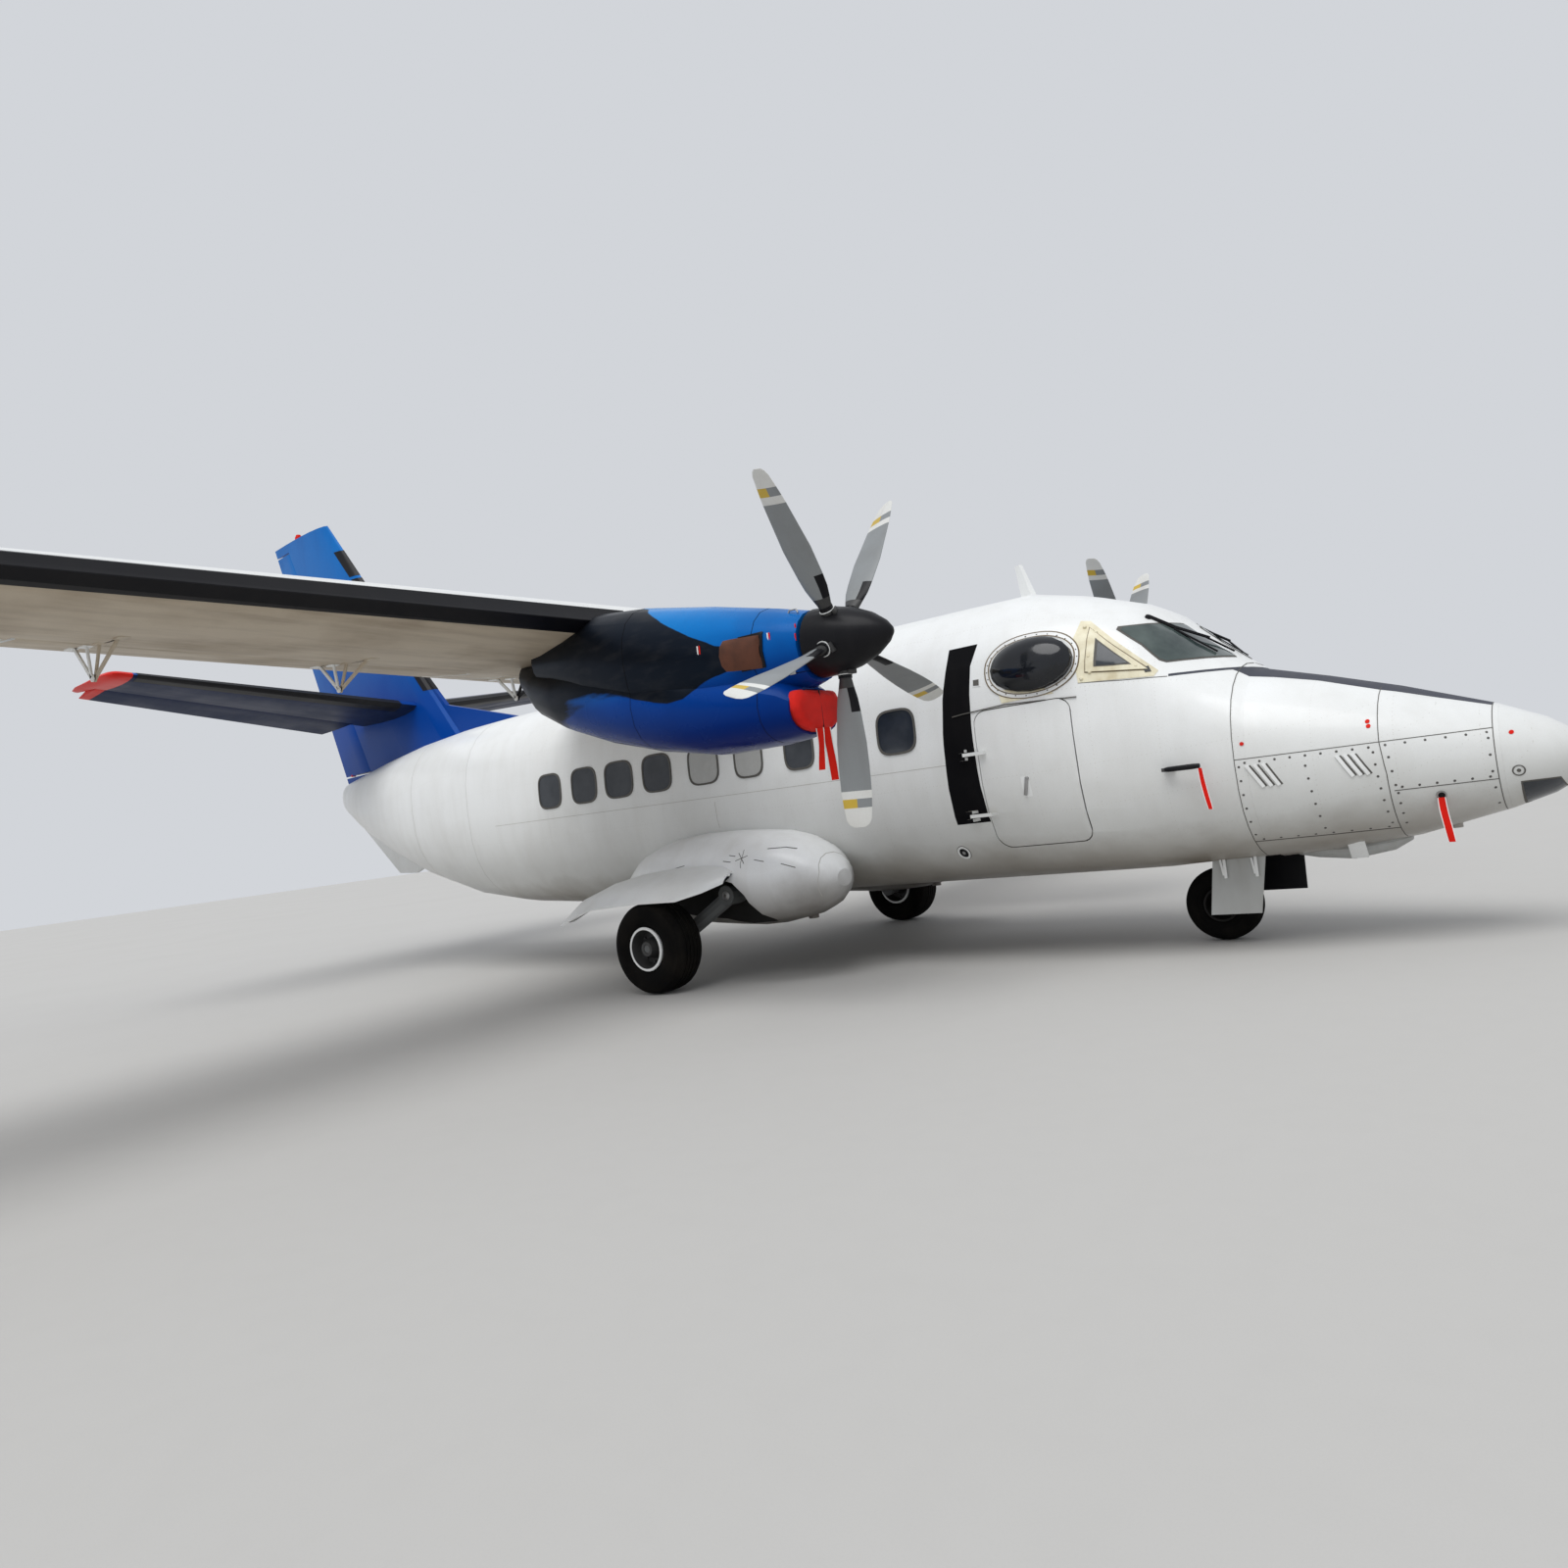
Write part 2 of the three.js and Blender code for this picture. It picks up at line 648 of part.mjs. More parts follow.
// A side door, cut from the hull's own skin, on two outside hinges at one upright edge.
// Its free edge is trimmed to the surface that its outer corner sweeps about the hinge.
function sideDoor(door) {
  const { name, side, s0, s1, z0, z1, hingeAt, hingeHeights, step, recess } = door;
  const shellOf = (depth, out) => hull(out, s0 - 300, s1 + 300).subtract(hull(-depth, s0 - 301, s1 + 301));
  const aft = hingeAt === "aft";
  const edge = aft ? s1 : s0;
  const freeEdge = aft ? s0 : s1;
  const toDoor = aft ? -1 : 1; // station direction from the hinge to the door
  const hingeStation = edge - toDoor * step;
  const out = Math.max(...hingeHeights.map((z) => skinY(hingeStation, z))) + hingeProud;
  const hingeY = side * out;
  const swept = [[z0 - 20, 0]];
  for (let i = 0; i <= 12; i += 1) {
    const z = z0 - 20 + (i / 12) * (z1 - z0 + 40);
    swept.push([z, Math.hypot(s1 - s0 + step, out - skinY(freeEdge, z)) - 1]);
  }
  swept.push([z1 + 20, 0]);
  const leaf0 = shellOf(skin, 0).intersect(doorway(door, 0));
  let leaf = leaf0.intersect(turned(swept, at(hingeStation, hingeY, 0), new THREE.Vector3(0, 0, 1), 72));
  const bay = shellOf(recess, 60).intersect(doorway(door, moveGap));
  let fixed = null;
  for (const z of hingeHeights) {
    const [inner, outer] = [side * (skinY(hingeStation, z) - 25), hingeY + side * 12];
    const eyeOuter = 14;
    const eye = bar(at(hingeStation, hingeY, z), at(hingeStation, hingeY, z + 24), eyeOuter);
    const reach = [hingeStation + toDoor * 4, edge + toDoor * 60];
    const strap = block(...reach, hingeY - side * 4, hingeY + side * 10, z, z + 24)
      .add(block(edge + toDoor * 12, reach[1], side * (skinY(edge, z) - 20), hingeY, z, z + 24));
    const hole = bar(at(hingeStation, hingeY, z - 5), at(hingeStation, hingeY, z + 29), boreRadius);
    leaf = leaf.add(eye.add(strap).subtract(hole));
    const lug = block(hingeStation - toDoor * 40, hingeStation + toDoor * 11, inner, outer, z - 26, z - 6)
      .add(block(hingeStation - toDoor * 40, hingeStation + toDoor * 11, inner, outer, z + 30, z + 50))
      .add(bar(at(hingeStation, hingeY, z - 20), at(hingeStation, hingeY, z + 44), pinRadius));
    fixed = fixed ? fixed.add(lug) : lug;
  }
  add(name, leaf, "white", hingeOf(at(hingeStation, hingeY, z0), new THREE.Vector3(0, 0, 1)));
  return { bay, fixed };
}

const doors = [
  // step is the hinge line's distance beyond the door's edge, recess the depth of its doorway
  {
    name: "crew_door", side: starboard, s0: 2705, s1: 3395, z0: 830, z1: 1805,
    corner: 90, hingeAt: "aft", hingeHeights: [1070, 1505], step: 95, recess: 420,
  },
  {
    name: "passenger_door", side: port, s0: 8020, s1: 8658, z0: 800, z1: 2260,
    corner: 60, hingeAt: "fore", hingeHeights: [1050, 1900], step: 22, recess: 200,
  },
  {
    name: "cargo_door", side: port, s0: 8668, s1: 9290, z0: 800, z1: 2260,
    corner: 60, hingeAt: "aft", hingeHeights: [1050, 1900], step: 22, recess: 200,
  },
];

// The baggage door in the port side of the nose, hinged along its top edge
const baggage = {
  side: port, s0: 1000, s1: 1580, z0: 880, z1: 1330, corner: 50, hingeStations: [1130, 1450],
};

function pushed(point, direction, distance) {
  return point.clone().addScaledVector(direction, distance);
}

function baggageDoor() {
  const { s0, s1, z0, z1, hingeStations } = baggage;
  const [depth, step] = [skin - 20, 22];
  const shell = (inside, outside) => hull(outside, 700, 1680).subtract(hull(-inside, 699, 1681));
  const hingeZ = z1 + step;
  const from = at(s0, skinY(s0, hingeZ) + 26, hingeZ);
  const to = at(s1, skinY(s1, hingeZ) + 26, hingeZ);
  const along = to.clone().sub(from).normalize();
  const opening = { ...baggage, yaw: Math.atan2(from.y - to.y, s1 - s0) };
  const reach = hingeZ - z0 - 1;
  let door = shell(depth, 0).intersect(doorway(opening, 0))
    .intersect(bar(pushed(from, along, -150), pushed(to, along, 150), reach, reach, 64));
  const bay = shell(depth + 3 * moveGap, 60).intersect(doorway(opening, moveGap));
  let fixed = null;
  for (const station of hingeStations) {
    const y = from.y + ((station - s0) / (s1 - s0)) * (to.y - from.y);
    const pinAt = (shift) => at(station, y, hingeZ).addScaledVector(along, shift);
    const slab = (shift, yIn, yOut, zLow, zHigh) => {
      const ring = (d) => [[yIn, zLow], [yOut, zLow], [yOut, zHigh], [yIn, zHigh]]
        .map(([dy, z]) => pinAt(shift + d).add(new THREE.Vector3(0, dy, z - hingeZ)));
      return loft([ring(0), ring(20)]);
    };
    const eye = bar(pinAt(0), pinAt(20), 14)
      .add(slab(0, -2, 11, z1 - 70, hingeZ))
      .add(slab(0, -45, 5, z1 - 70, z1 - 14));
    door = door.add(eye.subtract(bar(pinAt(-5), pinAt(25), boreRadius)));
    const lug = slab(-25, -60, 11, hingeZ - 9, hingeZ + 45)
      .add(slab(25, -60, 11, hingeZ - 9, hingeZ + 45))
      .add(bar(pinAt(-20), pinAt(40), pinRadius));
    fixed = fixed ? fixed.add(lug) : lug;
  }
  add("baggage_door", door, "white", hingeOf(from, along));
  return { bay, fixed };
}

function addFuselage() {
  const envelope = wingEnvelope();
  const cut = (solid) => solid.subtract(envelope);
  const fairing = loft(roofFairingRows.map((row) => hullRing(row, 0, lobeSides)));
  let cabin = cut(hull(0, noseJoint + seatGap, tailJoint).add(fairing));
  for (const door of doors) {
    const { bay, fixed } = sideDoor(door);
    cabin = cabin.subtract(bay).add(fixed);
  }
  cabin = cabin.subtract(noseWell()).subtract(room());
  const cone = hull(0, tailJoint + seatGap, fuselageEnd);
  const hollow = hull(-skin, tailJoint, fuselageEnd - 350, roomSides);
  add("nose_cone", hull(0, 0, coneJoint), "white");
  const hatch = baggageDoor();
  const nose = hull(0, coneJoint + seatGap, noseJoint).subtract(hatch.bay).add(hatch.fixed)
    .add(jackingPad(...nosePad));
  add("nose_section", nose, "white");
  add("cabin", cabin, "white");
  add("tail_cone", cone.subtract(hollow), "white");
}

const roofFairingRows = [
  // station, bottom, top, half width, squareness: the fairing from the roof to the wing
  [4500, 2400, 2670, 250, 2.2],
  [5000, 2400, 2790, 640, 2.5],
  [5600, 2400, 2850, 800, 2.6],
  [7300, 2400, 2840, 800, 2.6],
  [8000, 2400, 2780, 560, 2.4],
  [8700, 2400, 2670, 200, 2.2],
];
const roomSides = 16;

// The hollow of the passenger cabin, open aft into the tail cone
function room() {
  const end = tailJoint + 1;
  return hull(-skin, roomFore, end, roomSides)
    .intersect(block(roomFore, end, -1100, 1100, roomFloorZ, roomCeilingZ));
}

// A flat round pad on the underside, for a jack: station, y, z of its face, z of its root
const nosePad = [720, 0, 655, 710];
const sponsonPads = { right: [5050, -980, 416, 500], left: [5050, 980, 416, 500] };
const padRadius = 42;

function jackingPad(s, y, faceZ, rootZ) {
  return bar(at(s, y, faceZ), at(s, y, rootZ), padRadius, padRadius, 20);
}

// The bay that the nose wheel and its fork turn in
const wellHalf = 300;
const wellTop = 900;

function noseWell() {
  return block(noseLegStation - 420, noseLegStation + 420, -wellHalf, wellHalf, 300, wellTop);
}

// Engines, nacelles and propellers

const thrust = new THREE.Vector3(Math.cos(radians(thrustTilt)), 0, -Math.sin(radians(thrustTilt)));

const cowlRows = [
  // station, bottom, top, half width, squareness: the round upper lobe
  [3675, 2050, 2500, 225, 2.0],
  [3900, 1990, 2560, 285, 2.1],
  [4400, 1950, 2680, 335, 2.3],
  [5000, 2000, 2800, 360, 2.4],
  [5500, 2200, 2860, 345, 2.4],
  [6100, 2420, 2800, 230, 2.2],
];
const intakeRows = [
  // the same for the lower lobe, with the air intake in front
  [3765, 1735, 2038, 262, 2.3],
  [3850, 1718, 2110, 284, 2.35],
  [4050, 1705, 2200, 310, 2.4],
  [4500, 1705, 2300, 335, 2.4],
  [5000, 1795, 2400, 340, 2.4],
  [5500, 1925, 2560, 310, 2.3],
  [5900, 2068, 2600, 265, 2.25],
  [6200, 2220, 2640, 200, 2.2],
  [6430, 2440, 2660, 90, 2.0],
];
const ductRow = [1750, 2023, 246, 2.3]; // bottom, top, half width and squareness of the intake mouth
const ductDepth = 180;

function besideEngine(rows, side, grow = 0) {
  return loft(rows.map((row) =>
    hullRing(row, grow, lobeSides)
      .map((point) => point.add(new THREE.Vector3(0, side * engineY, 0)))));
}

function nacelleBody(side, grow = 0) {
  return besideEngine(cowlRows, side, grow).add(besideEngine(intakeRows, side, grow));
}

const engineProfile = [
  // distance aft of the propeller's plane, radius
  [205, 150],
  [420, 160],
  [480, 235],
  [1330, 235],
  [1330, 0],
];

function engineBlock(side, grow) {
  const hub = at(propStation, side * engineY, propZ);
  const profile = [[-engineProfile[0][0], 0]];
  for (const [aft, radius] of engineProfile) {
    profile.push([-aft - (aft === 1330 ? grow : 0), Math.max(0, radius + (radius ? grow : 0))]);
  }
  return turned(profile, hub, thrust, 16);
}

function addEngine([name, side]) {
  const hub = at(propStation, side * engineY, propZ);
  const reach = (distance) => hub.clone().addScaledVector(thrust, distance);
  const engine = engineBlock(side, 0);
  const mouth = bar(reach(-420), reach(60), 160 + seatGap, 160 + seatGap, 16);
  const mouthStation = intakeRows[0][0];
  const duct = besideEngine([[mouthStation - 50, ...ductRow], [mouthStation + ductDepth, ...ductRow]], side);
  const coverRow = [mouthStation + 60, ...ductRow];
  const cover = besideEngine([[mouthStation - 28, 1782, 1992, 212, 2.3], [mouthStation - 8, ...ductRow],
    coverRow], side, -seatGap);
  const nacelle = nacelleBody(side)
    .subtract(engineBlock(side, seatGap))
    .subtract(mouth)
    .subtract(duct)
    .subtract(wingEnvelope());
  add(`intake_cover_${name}`, cover, "red");
  for (const [where, out] of [["outer", side], ["inner", -side]]) {
    add(`exhaust_${where}_${name}`, exhaustStub(side, out), "copper");
  }
  add(`nacelle_${name}`, largest(nacelle), "blue");
  add(`engine_${name}`, engine, "metal");
  addPropeller(name, reach);
}

const spinnerProfile = [
  // along the axis from the blades' plane, radius of the outside
  [-spinnerBase, spinnerRadius],
  [-20, 208],
  [110, 180],
  [230, 132],
  [320, 72],
  [spinnerTip - 8, 26],
  [spinnerTip, 0],
];

const bladeRows = [
  // share of the radius, chord, thickness, pitch in degrees from the plane of rotation, feathered
  [0.06, 70, 70, 98],
  [0.2, 78, 62, 98],
  [0.32, 160, 34, 94],
  [0.55, 210, 22, 86],
  [0.8, 200, 14, 76],
  [0.96, 160, 8, 70],
  [1, 90, 4, 69],
];

function blade(hub, angle) {
  const up = new THREE.Vector3(-thrust.z, 0, thrust.x);
  const across = new THREE.Vector3(0, 1, 0);
  const span = across.clone().multiplyScalar(Math.sin(angle)).addScaledVector(up, Math.cos(angle));
  const turn = thrust.clone().cross(span);
  const rings = bladeRows.map(([share, chord, thickness, pitch]) => {
    const along = turn.clone().multiplyScalar(Math.cos(radians(pitch)))
      .addScaledVector(thrust, Math.sin(radians(pitch)));
    const normal = span.clone().cross(along);
    const centre = hub.clone().addScaledVector(span, share * propRadius);
    const ring = [];
    for (let i = 0; i < 6; i += 1) {
      const a = (i / 6) * 2 * Math.PI;
      ring.push(centre.clone()
        .addScaledVector(along, (Math.cos(a) * chord) / 2)
        .addScaledVector(normal, (Math.sin(a) * thickness) / 2));
    }
    return ring;
  });
  return loft(rings);
}

const exhaustRows = [
  // distance aft, distance out from the engine's middle, half height, half width
  [290, 190, 100, 50],
  [420, 275, 108, 58],
  [545, 365, 104, 56],
  [590, 392, 100, 52],
];
const exhaustWall = 9;
const exhaustDrop = 5; // below the thrust line

// A flattened pipe from the cowl's side, open at its aft end
function exhaustStub(side, out) {
  const ring = ([aft, reach, high, wide], shrink) => {
    const points = [];
    for (let i = 0; i < 10; i += 1) {
      const angle = (i / 10) * 2 * Math.PI;
      const y = Math.cos(angle) * (wide - shrink);
      points.push(at(propStation + aft + y * 0.6, side * engineY + out * (reach + y * 0.8),
        propZ - exhaustDrop + Math.sin(angle) * (high - shrink)));
    }
    return points;
  };
  const mouthRows = exhaustRows.slice(1).map((row) => [...row]);
  mouthRows[mouthRows.length - 1][0] += 60;
  mouthRows[mouthRows.length - 1][1] += 30;
  return loft(exhaustRows.map((row) => ring(row, 0)))
    .subtract(loft(mouthRows.map((row) => ring(row, exhaustWall))))
    .subtract(nacelleBody(side, seatGap));
}

const hubRadius = 100;
const hubNose = 150; // ahead of the blades' plane
const boreSize = hubRadius + seatGap;

function addPropeller(name, reach) {
  const hub = reach(0);
  let spinner = turned([[-spinnerBase, 0], ...spinnerProfile], hub, thrust, 24)
    .subtract(bar(reach(-spinnerBase - 1), reach(hubNose + seatGap), boreSize, boreSize, 16));
  let blades = bar(reach(-engineProfile[0][0] + seatGap), reach(hubNose), hubRadius, hubRadius, 16);
  for (let k = 0; k < bladeCount; k += 1) {
    const angle = radians(bladePhase[name] + (k * 360) / bladeCount);
    blades = blades.add(blade(hub, angle));
    const up = new THREE.Vector3(-thrust.z, 0, thrust.x);
    const span = new THREE.Vector3(0, Math.sin(angle), 0).addScaledVector(up, Math.cos(angle));
    const end = hub.clone().addScaledVector(span, 300);
    spinner = spinner.subtract(bar(hub.clone().addScaledVector(span, hubRadius - 20), end, 45, 45, 8));
  }
  add(`spinner_${name}`, spinner, "black");
  add(`blades_${name}`, blades, "grey", hingeOf(hub, thrust));
}

// Landing gear

const yAxis = new THREE.Vector3(0, 1, 0);

function tyreProfile(radius, width, rimRadius) {
  const half = width / 2;
  const bead = rimRadius + seatGap;
  return [
    [-half * 0.62, bead], [half * 0.62, bead], [half * 0.94, bead + 35],
    [half, radius - 80], [half * 0.88, radius - 24], [half * 0.5, radius], [-half * 0.5, radius],
    [-half * 0.88, radius - 24], [-half, radius - 80], [-half * 0.94, bead + 35], [-half * 0.62, bead],
  ];
}

function rimProfile(width, rimRadius) {
  const half = width / 2;
  const bore = axleRadius + 0.6;
  return [
    [-half * 0.62, bore], [half * 0.62, bore], [half * 0.62, rimRadius * 0.5],
    [half * 0.25, rimRadius * 0.62], [half * 0.25, rimRadius - 16], [half * 0.6, rimRadius],
    [-half * 0.6, rimRadius], [-half * 0.25, rimRadius - 16], [-half * 0.25, rimRadius * 0.62],
    [-half * 0.62, rimRadius * 0.5], [-half * 0.62, bore],
  ];
}

function addWheel(name, centre, radius, width, rimRadius) {
  add(`${name}_tyre`, turned(tyreProfile(radius, width, rimRadius), centre, yAxis, wheelSides), "rubber");
  add(`${name}_rim`, turned(rimProfile(width, rimRadius), centre, yAxis, wheelSides), "white",
    hingeOf(centre, yAxis));
}

const sponsonRows = [
  // station, bottom, top, y of the inner side, y of the outer side, squareness
  [4580, 670, 800, 1060, 1250, 2.0],
  [4650, 585, 890, 930, 1370, 2.1],
  [4760, 510, 990, 800, 1470, 2.2],
  [4920, 455, 1075, 660, 1550, 2.3],
  [5150, 415, 1140, 540, 1600, 2.4],
  [5380, 402, 1165, 500, 1580, 2.4],
  [5650, 405, 1185, 500, 1500, 2.3],
  [6000, 425, 1190, 500, 1460, 2.3],
  [6400, 480, 1160, 500, 1400, 2.3],
  [6700, 560, 1075, 540, 1300, 2.2],
  [6900, 640, 960, 600, 1180, 2.1],
  [7010, 710, 860, 680, 1060, 2.0],
];

const gearDoorRows = [
  // station, y inside, of the crest and outside, z inside, of the crest and outside
  [5340, 1380, 1590, 1690, 850, 880, 812],
  [5430, 1380, 1560, 1850, 870, 915, 765],
  [5620, 1380, 1530, 1945, 885, 940, 722],
  [6000, 1360, 1520, 1975, 885, 940, 725],
  [6350, 1330, 1520, 1945, 865, 915, 708],
  [6650, 1300, 1570, 1885, 820, 862, 690],
  [6950, 1420, 1660, 1825, 730, 755, 618],
  [7140, 1640, 1730, 1800, 585, 592, 556],
];
const gearDoorThick = 14;

// The opening over the wheel and the leg, under the gear door
const archFace = 1330; // y of its inner wall
const archOutline = [
  // station, z
  [5060, 300], [5090, 430], [5170, 560], [5240, 690], [5340, 790], [5440, 812],
  [6560, 812], [6640, 740], [6660, 300],
];

function gearDoor(side) {
  return loft(gearDoorRows.map(([s, inner, crest, outer, zInner, zCrest, zOuter]) => {
    const bow = (share, drop) => [crest + share * (outer - crest), zCrest - drop * (zCrest - zOuter)];
    const top = [[inner, zInner], [crest, zCrest], bow(0.4, 0.22), bow(0.75, 0.56), [outer, zOuter]];
    const under = top.map(([y, z]) => [y, z - gearDoorThick]).reverse();
    return [...top, ...under].map(([y, z]) => at(s, side * y, z));
  }));
}

function sponsonBody(side, grow = 0) {
  return loft(sponsonRows.map(([s, bottom, top, inner, outer, power]) => {
    const half = (outer - inner) / 2;
    return hullRing([s, bottom, top, half, power], grow, lobeSides)
      .map((point) => point.add(new THREE.Vector3(0, side * (inner + half), 0)));
  }));
}

// Where the main leg leaves its sponson, and where its axle starts
const kneeStation = 5490;
const kneeZ = 690;
const legRadius = 58;

function mainLeg(side) {
  const knee = at(kneeStation, side * 1420, kneeZ);
  const axle = (y) => at(mainStation, side * y, mainTyreRadius);
  const foot = axle(mainY - 235);
  return bar(knee, foot, legRadius + 6, legRadius)
    .add(bar(axle(mainY - 290), foot, 70))
    .add(bar(foot, axle(mainY - mainTyreWidth * 0.31 - 3), 60))
    .add(bar(foot, axle(mainY + 130), axleRadius))
    .add(bar(at(kneeStation, side * (archFace + seatGap), kneeZ), at(kneeStation, side * 1500, kneeZ), 80));
}

function addMainGear([name, side]) {
  const wheel = at(mainStation, side * mainY, mainTyreRadius);
  const arch = plate(archOutline, side * archFace, side * 2100);
  const sponson = sponsonBody(side).subtract(hull(seatGap, 3500, 8500)).subtract(arch);
  add(`sponson_${name}`, largest(sponson.add(jackingPad(...sponsonPads[name]))), "white");
  add(`main_leg_${name}`, mainLeg(side), "grey");
  add(`main_gear_door_${name}`, largest(gearDoor(side).subtract(sponsonBody(side, seatGap))), "white");
  addWheel(`main_${name}`, wheel, mainTyreRadius, mainTyreWidth, 165);
}

const noseDoorThick = 12;
const noseDoorOutlines = {
  // station, z
  right: [[1780, 600], [2120, 600], [2178, 215], [1850, 215]],
  left: [[1680, 600], [2120, 600], [2120, 290], [1690, 290]],
};

function addNoseGear() {
  const wheel = at(noseWheelStation, 0, noseTyreRadius);
  const crown = 2 * noseTyreRadius + 45;
  const leg = bar(at(noseLegStation, 0, crown + 60), at(noseLegStation, 0, wellTop - seatGap), 55);
  const armY = noseTyreWidth / 2 + 30;
  let fork = block(noseLegStation - 55, noseLegStation + 60, -armY - 15, armY + 15, crown, crown + 40)
    .add(bar(at(noseLegStation, 0, crown + 30), at(noseLegStation, 0, crown + 59.5), 60));
  for (const side of [starboard, port]) {
    fork = fork.add(plate([
      [noseLegStation - 55, crown + 40], [noseLegStation + 60, crown + 40],
      [noseWheelStation + 45, noseTyreRadius], [noseWheelStation + 20, noseTyreRadius - 45],
      [noseWheelStation - 20, noseTyreRadius - 45], [noseWheelStation - 45, noseTyreRadius],
    ], side * (armY - 12), side * (armY + 15)));
  }
  fork = fork.add(bar(at(noseWheelStation, -armY, noseTyreRadius), at(noseWheelStation, armY, noseTyreRadius),
    axleRadius));
  for (const [name, side] of sides) {
    const inner = side * (wellHalf + seatGap);
    const door = plate(noseDoorOutlines[name], inner, inner + side * noseDoorThick);
    add(`nose_gear_door_${name}`, largest(door.subtract(hull(seatGap, 1500, 3000))), "white");
  }
  add("nose_leg", leg, "grey");
  add("nose_fork", fork, "grey", hingeOf(at(noseLegStation, 0, noseTyreRadius), new THREE.Vector3(0, 0, 1)));
  addWheel("nose", wheel, noseTyreRadius, noseTyreWidth, 115);
}

// Aerials, probes, the fairing under the nose and the fin under the tail

const fairingRows = [
  // station, bottom, top, half width, squareness
  [960, 600, 640, 40, 2.0],
  [1060, 545, 660, 120, 2.2],
  [1300, 505, 660, 165, 2.3],
  [1520, 530, 640, 120, 2.2],
  [1640, 556, 600, 40, 2.0],
];

// A swept blade aerial: station and z of its root and tip, chord at each, half thickness
function bladeAerial([s0, z0, chord0], [s1, z1, chord1], half) {
  const ring = (s, z, chord) => [[0, 0], [0.3, 1], [1, 0.15], [1, -0.15], [0.3, -1]]
    .map(([x, y]) => at(s + x * chord, y * half, z));
  return loft([ring(s0, z0, chord0), ring(s1, z1, chord1)]);
}

function addSmallPieces() {
  const belly = hull(seatGap, 0, 3400);
  const fairing = loft(fairingRows.map((row) => hullRing(row, 0, lobeSides))).subtract(belly);
  add("nose_fairing", largest(fairing), "grey");
  add("roof_aerial", largest(bladeAerial([3225, 2600, 150], [3345, 2955, 62], 12).subtract(hull(seatGap))),
    "white");
  add("ventral_fin", largest(plate(ventralOutline, -22, 22).subtract(hull(seatGap))), "white");
  for (const [name, side] of sides) {
    const [s, z] = [2120, 1240];
    const root = side * (skinY(s, z) - 20);
    const mast = plate([[s - 20, z - 12], [s + 45, z - 12], [s + 45, z + 12], [s - 20, z + 12]],
      root, root + side * 90);
    const tube = bar(at(s - 190, root + side * 80, z), at(s + 40, root + side * 80, z), 11);
    add(`pitot_${name}`, largest(mast.add(tube).subtract(belly)), "metal");
    add(`side_window_${name}`, bubble(side), "glass");
  }
}

const ventralOutline = [[11100, 1350], [12950, 2050], [13080, 1880], [12250, 1130], [11900, 1110]];

// The domed window beside the pilot, standing proud of the skin
const bubbleRows = [
  // distance out from the skin, half length, half height
  [-30, 300, 190],
  [12, 300, 190],
  [55, 255, 160],
  [85, 170, 105],
  [98, 60, 40],
];
const bubbleStation = 2950;
const bubbleZ = 2070;

function bubble(side) {
  const slope = Math.atan2(skinY(bubbleStation, bubbleZ - 150) - skinY(bubbleStation, bubbleZ + 150), 300);
  const out = new THREE.Vector3(0, side * Math.cos(slope), Math.sin(slope));
  const up = new THREE.Vector3(0, -side * Math.sin(slope), Math.cos(slope));
  const middle = at(bubbleStation, side * (skinY(bubbleStation, bubbleZ) + 4), bubbleZ);
  const dome = loft(bubbleRows.map(([reach, long, high]) => {
    const ring = [];
    for (let i = 0; i < 20; i += 1) {
      const angle = (i / 20) * 2 * Math.PI;
      ring.push(middle.clone()
        .addScaledVector(out, reach)
        .addScaledVector(up, Math.sin(angle) * high)
        .add(new THREE.Vector3(Math.cos(angle) * long, 0, 0)));
    }
    return ring;
  }));
  return largest(dome.subtract(hull(seatGap, 2000, 4000)));
}

addFuselage();
addSmallPieces();
addWingCentre();
for (const side of sides) {
  addWing(side);
  addEngine(side);
  addMainGear(side);
}
addTail();
addNoseGear();

export default model;
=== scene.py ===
import json
import math

import bpy
from mathutils import Matrix, Vector
from mathutils.bvhtree import BVHTree

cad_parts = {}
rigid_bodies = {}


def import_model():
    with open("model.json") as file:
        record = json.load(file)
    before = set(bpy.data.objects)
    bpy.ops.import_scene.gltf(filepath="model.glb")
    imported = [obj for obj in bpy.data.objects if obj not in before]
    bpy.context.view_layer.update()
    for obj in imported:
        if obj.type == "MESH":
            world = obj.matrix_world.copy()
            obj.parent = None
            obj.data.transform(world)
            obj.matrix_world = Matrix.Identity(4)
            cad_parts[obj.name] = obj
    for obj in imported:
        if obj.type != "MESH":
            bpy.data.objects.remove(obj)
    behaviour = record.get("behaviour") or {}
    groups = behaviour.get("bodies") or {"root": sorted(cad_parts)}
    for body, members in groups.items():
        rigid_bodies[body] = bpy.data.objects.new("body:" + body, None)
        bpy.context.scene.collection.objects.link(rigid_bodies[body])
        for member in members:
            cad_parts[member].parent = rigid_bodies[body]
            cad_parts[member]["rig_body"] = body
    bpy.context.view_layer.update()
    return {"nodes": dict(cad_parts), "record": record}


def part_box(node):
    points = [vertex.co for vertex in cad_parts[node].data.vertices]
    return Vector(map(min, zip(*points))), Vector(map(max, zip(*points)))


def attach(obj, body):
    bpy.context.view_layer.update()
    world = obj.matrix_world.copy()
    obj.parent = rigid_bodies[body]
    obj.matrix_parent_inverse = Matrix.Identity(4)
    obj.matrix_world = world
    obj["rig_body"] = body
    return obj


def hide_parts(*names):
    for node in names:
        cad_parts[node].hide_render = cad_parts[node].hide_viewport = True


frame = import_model()
noseX = 7.21  # metres from the middle of the part to the nose tip
starboard, port = -1, 1
sides = (("right", starboard), ("left", port))
print("frame loaded,", len(frame["nodes"]), "nodes")


def at(station, y, z):
    return Vector((noseX - station, y, z))


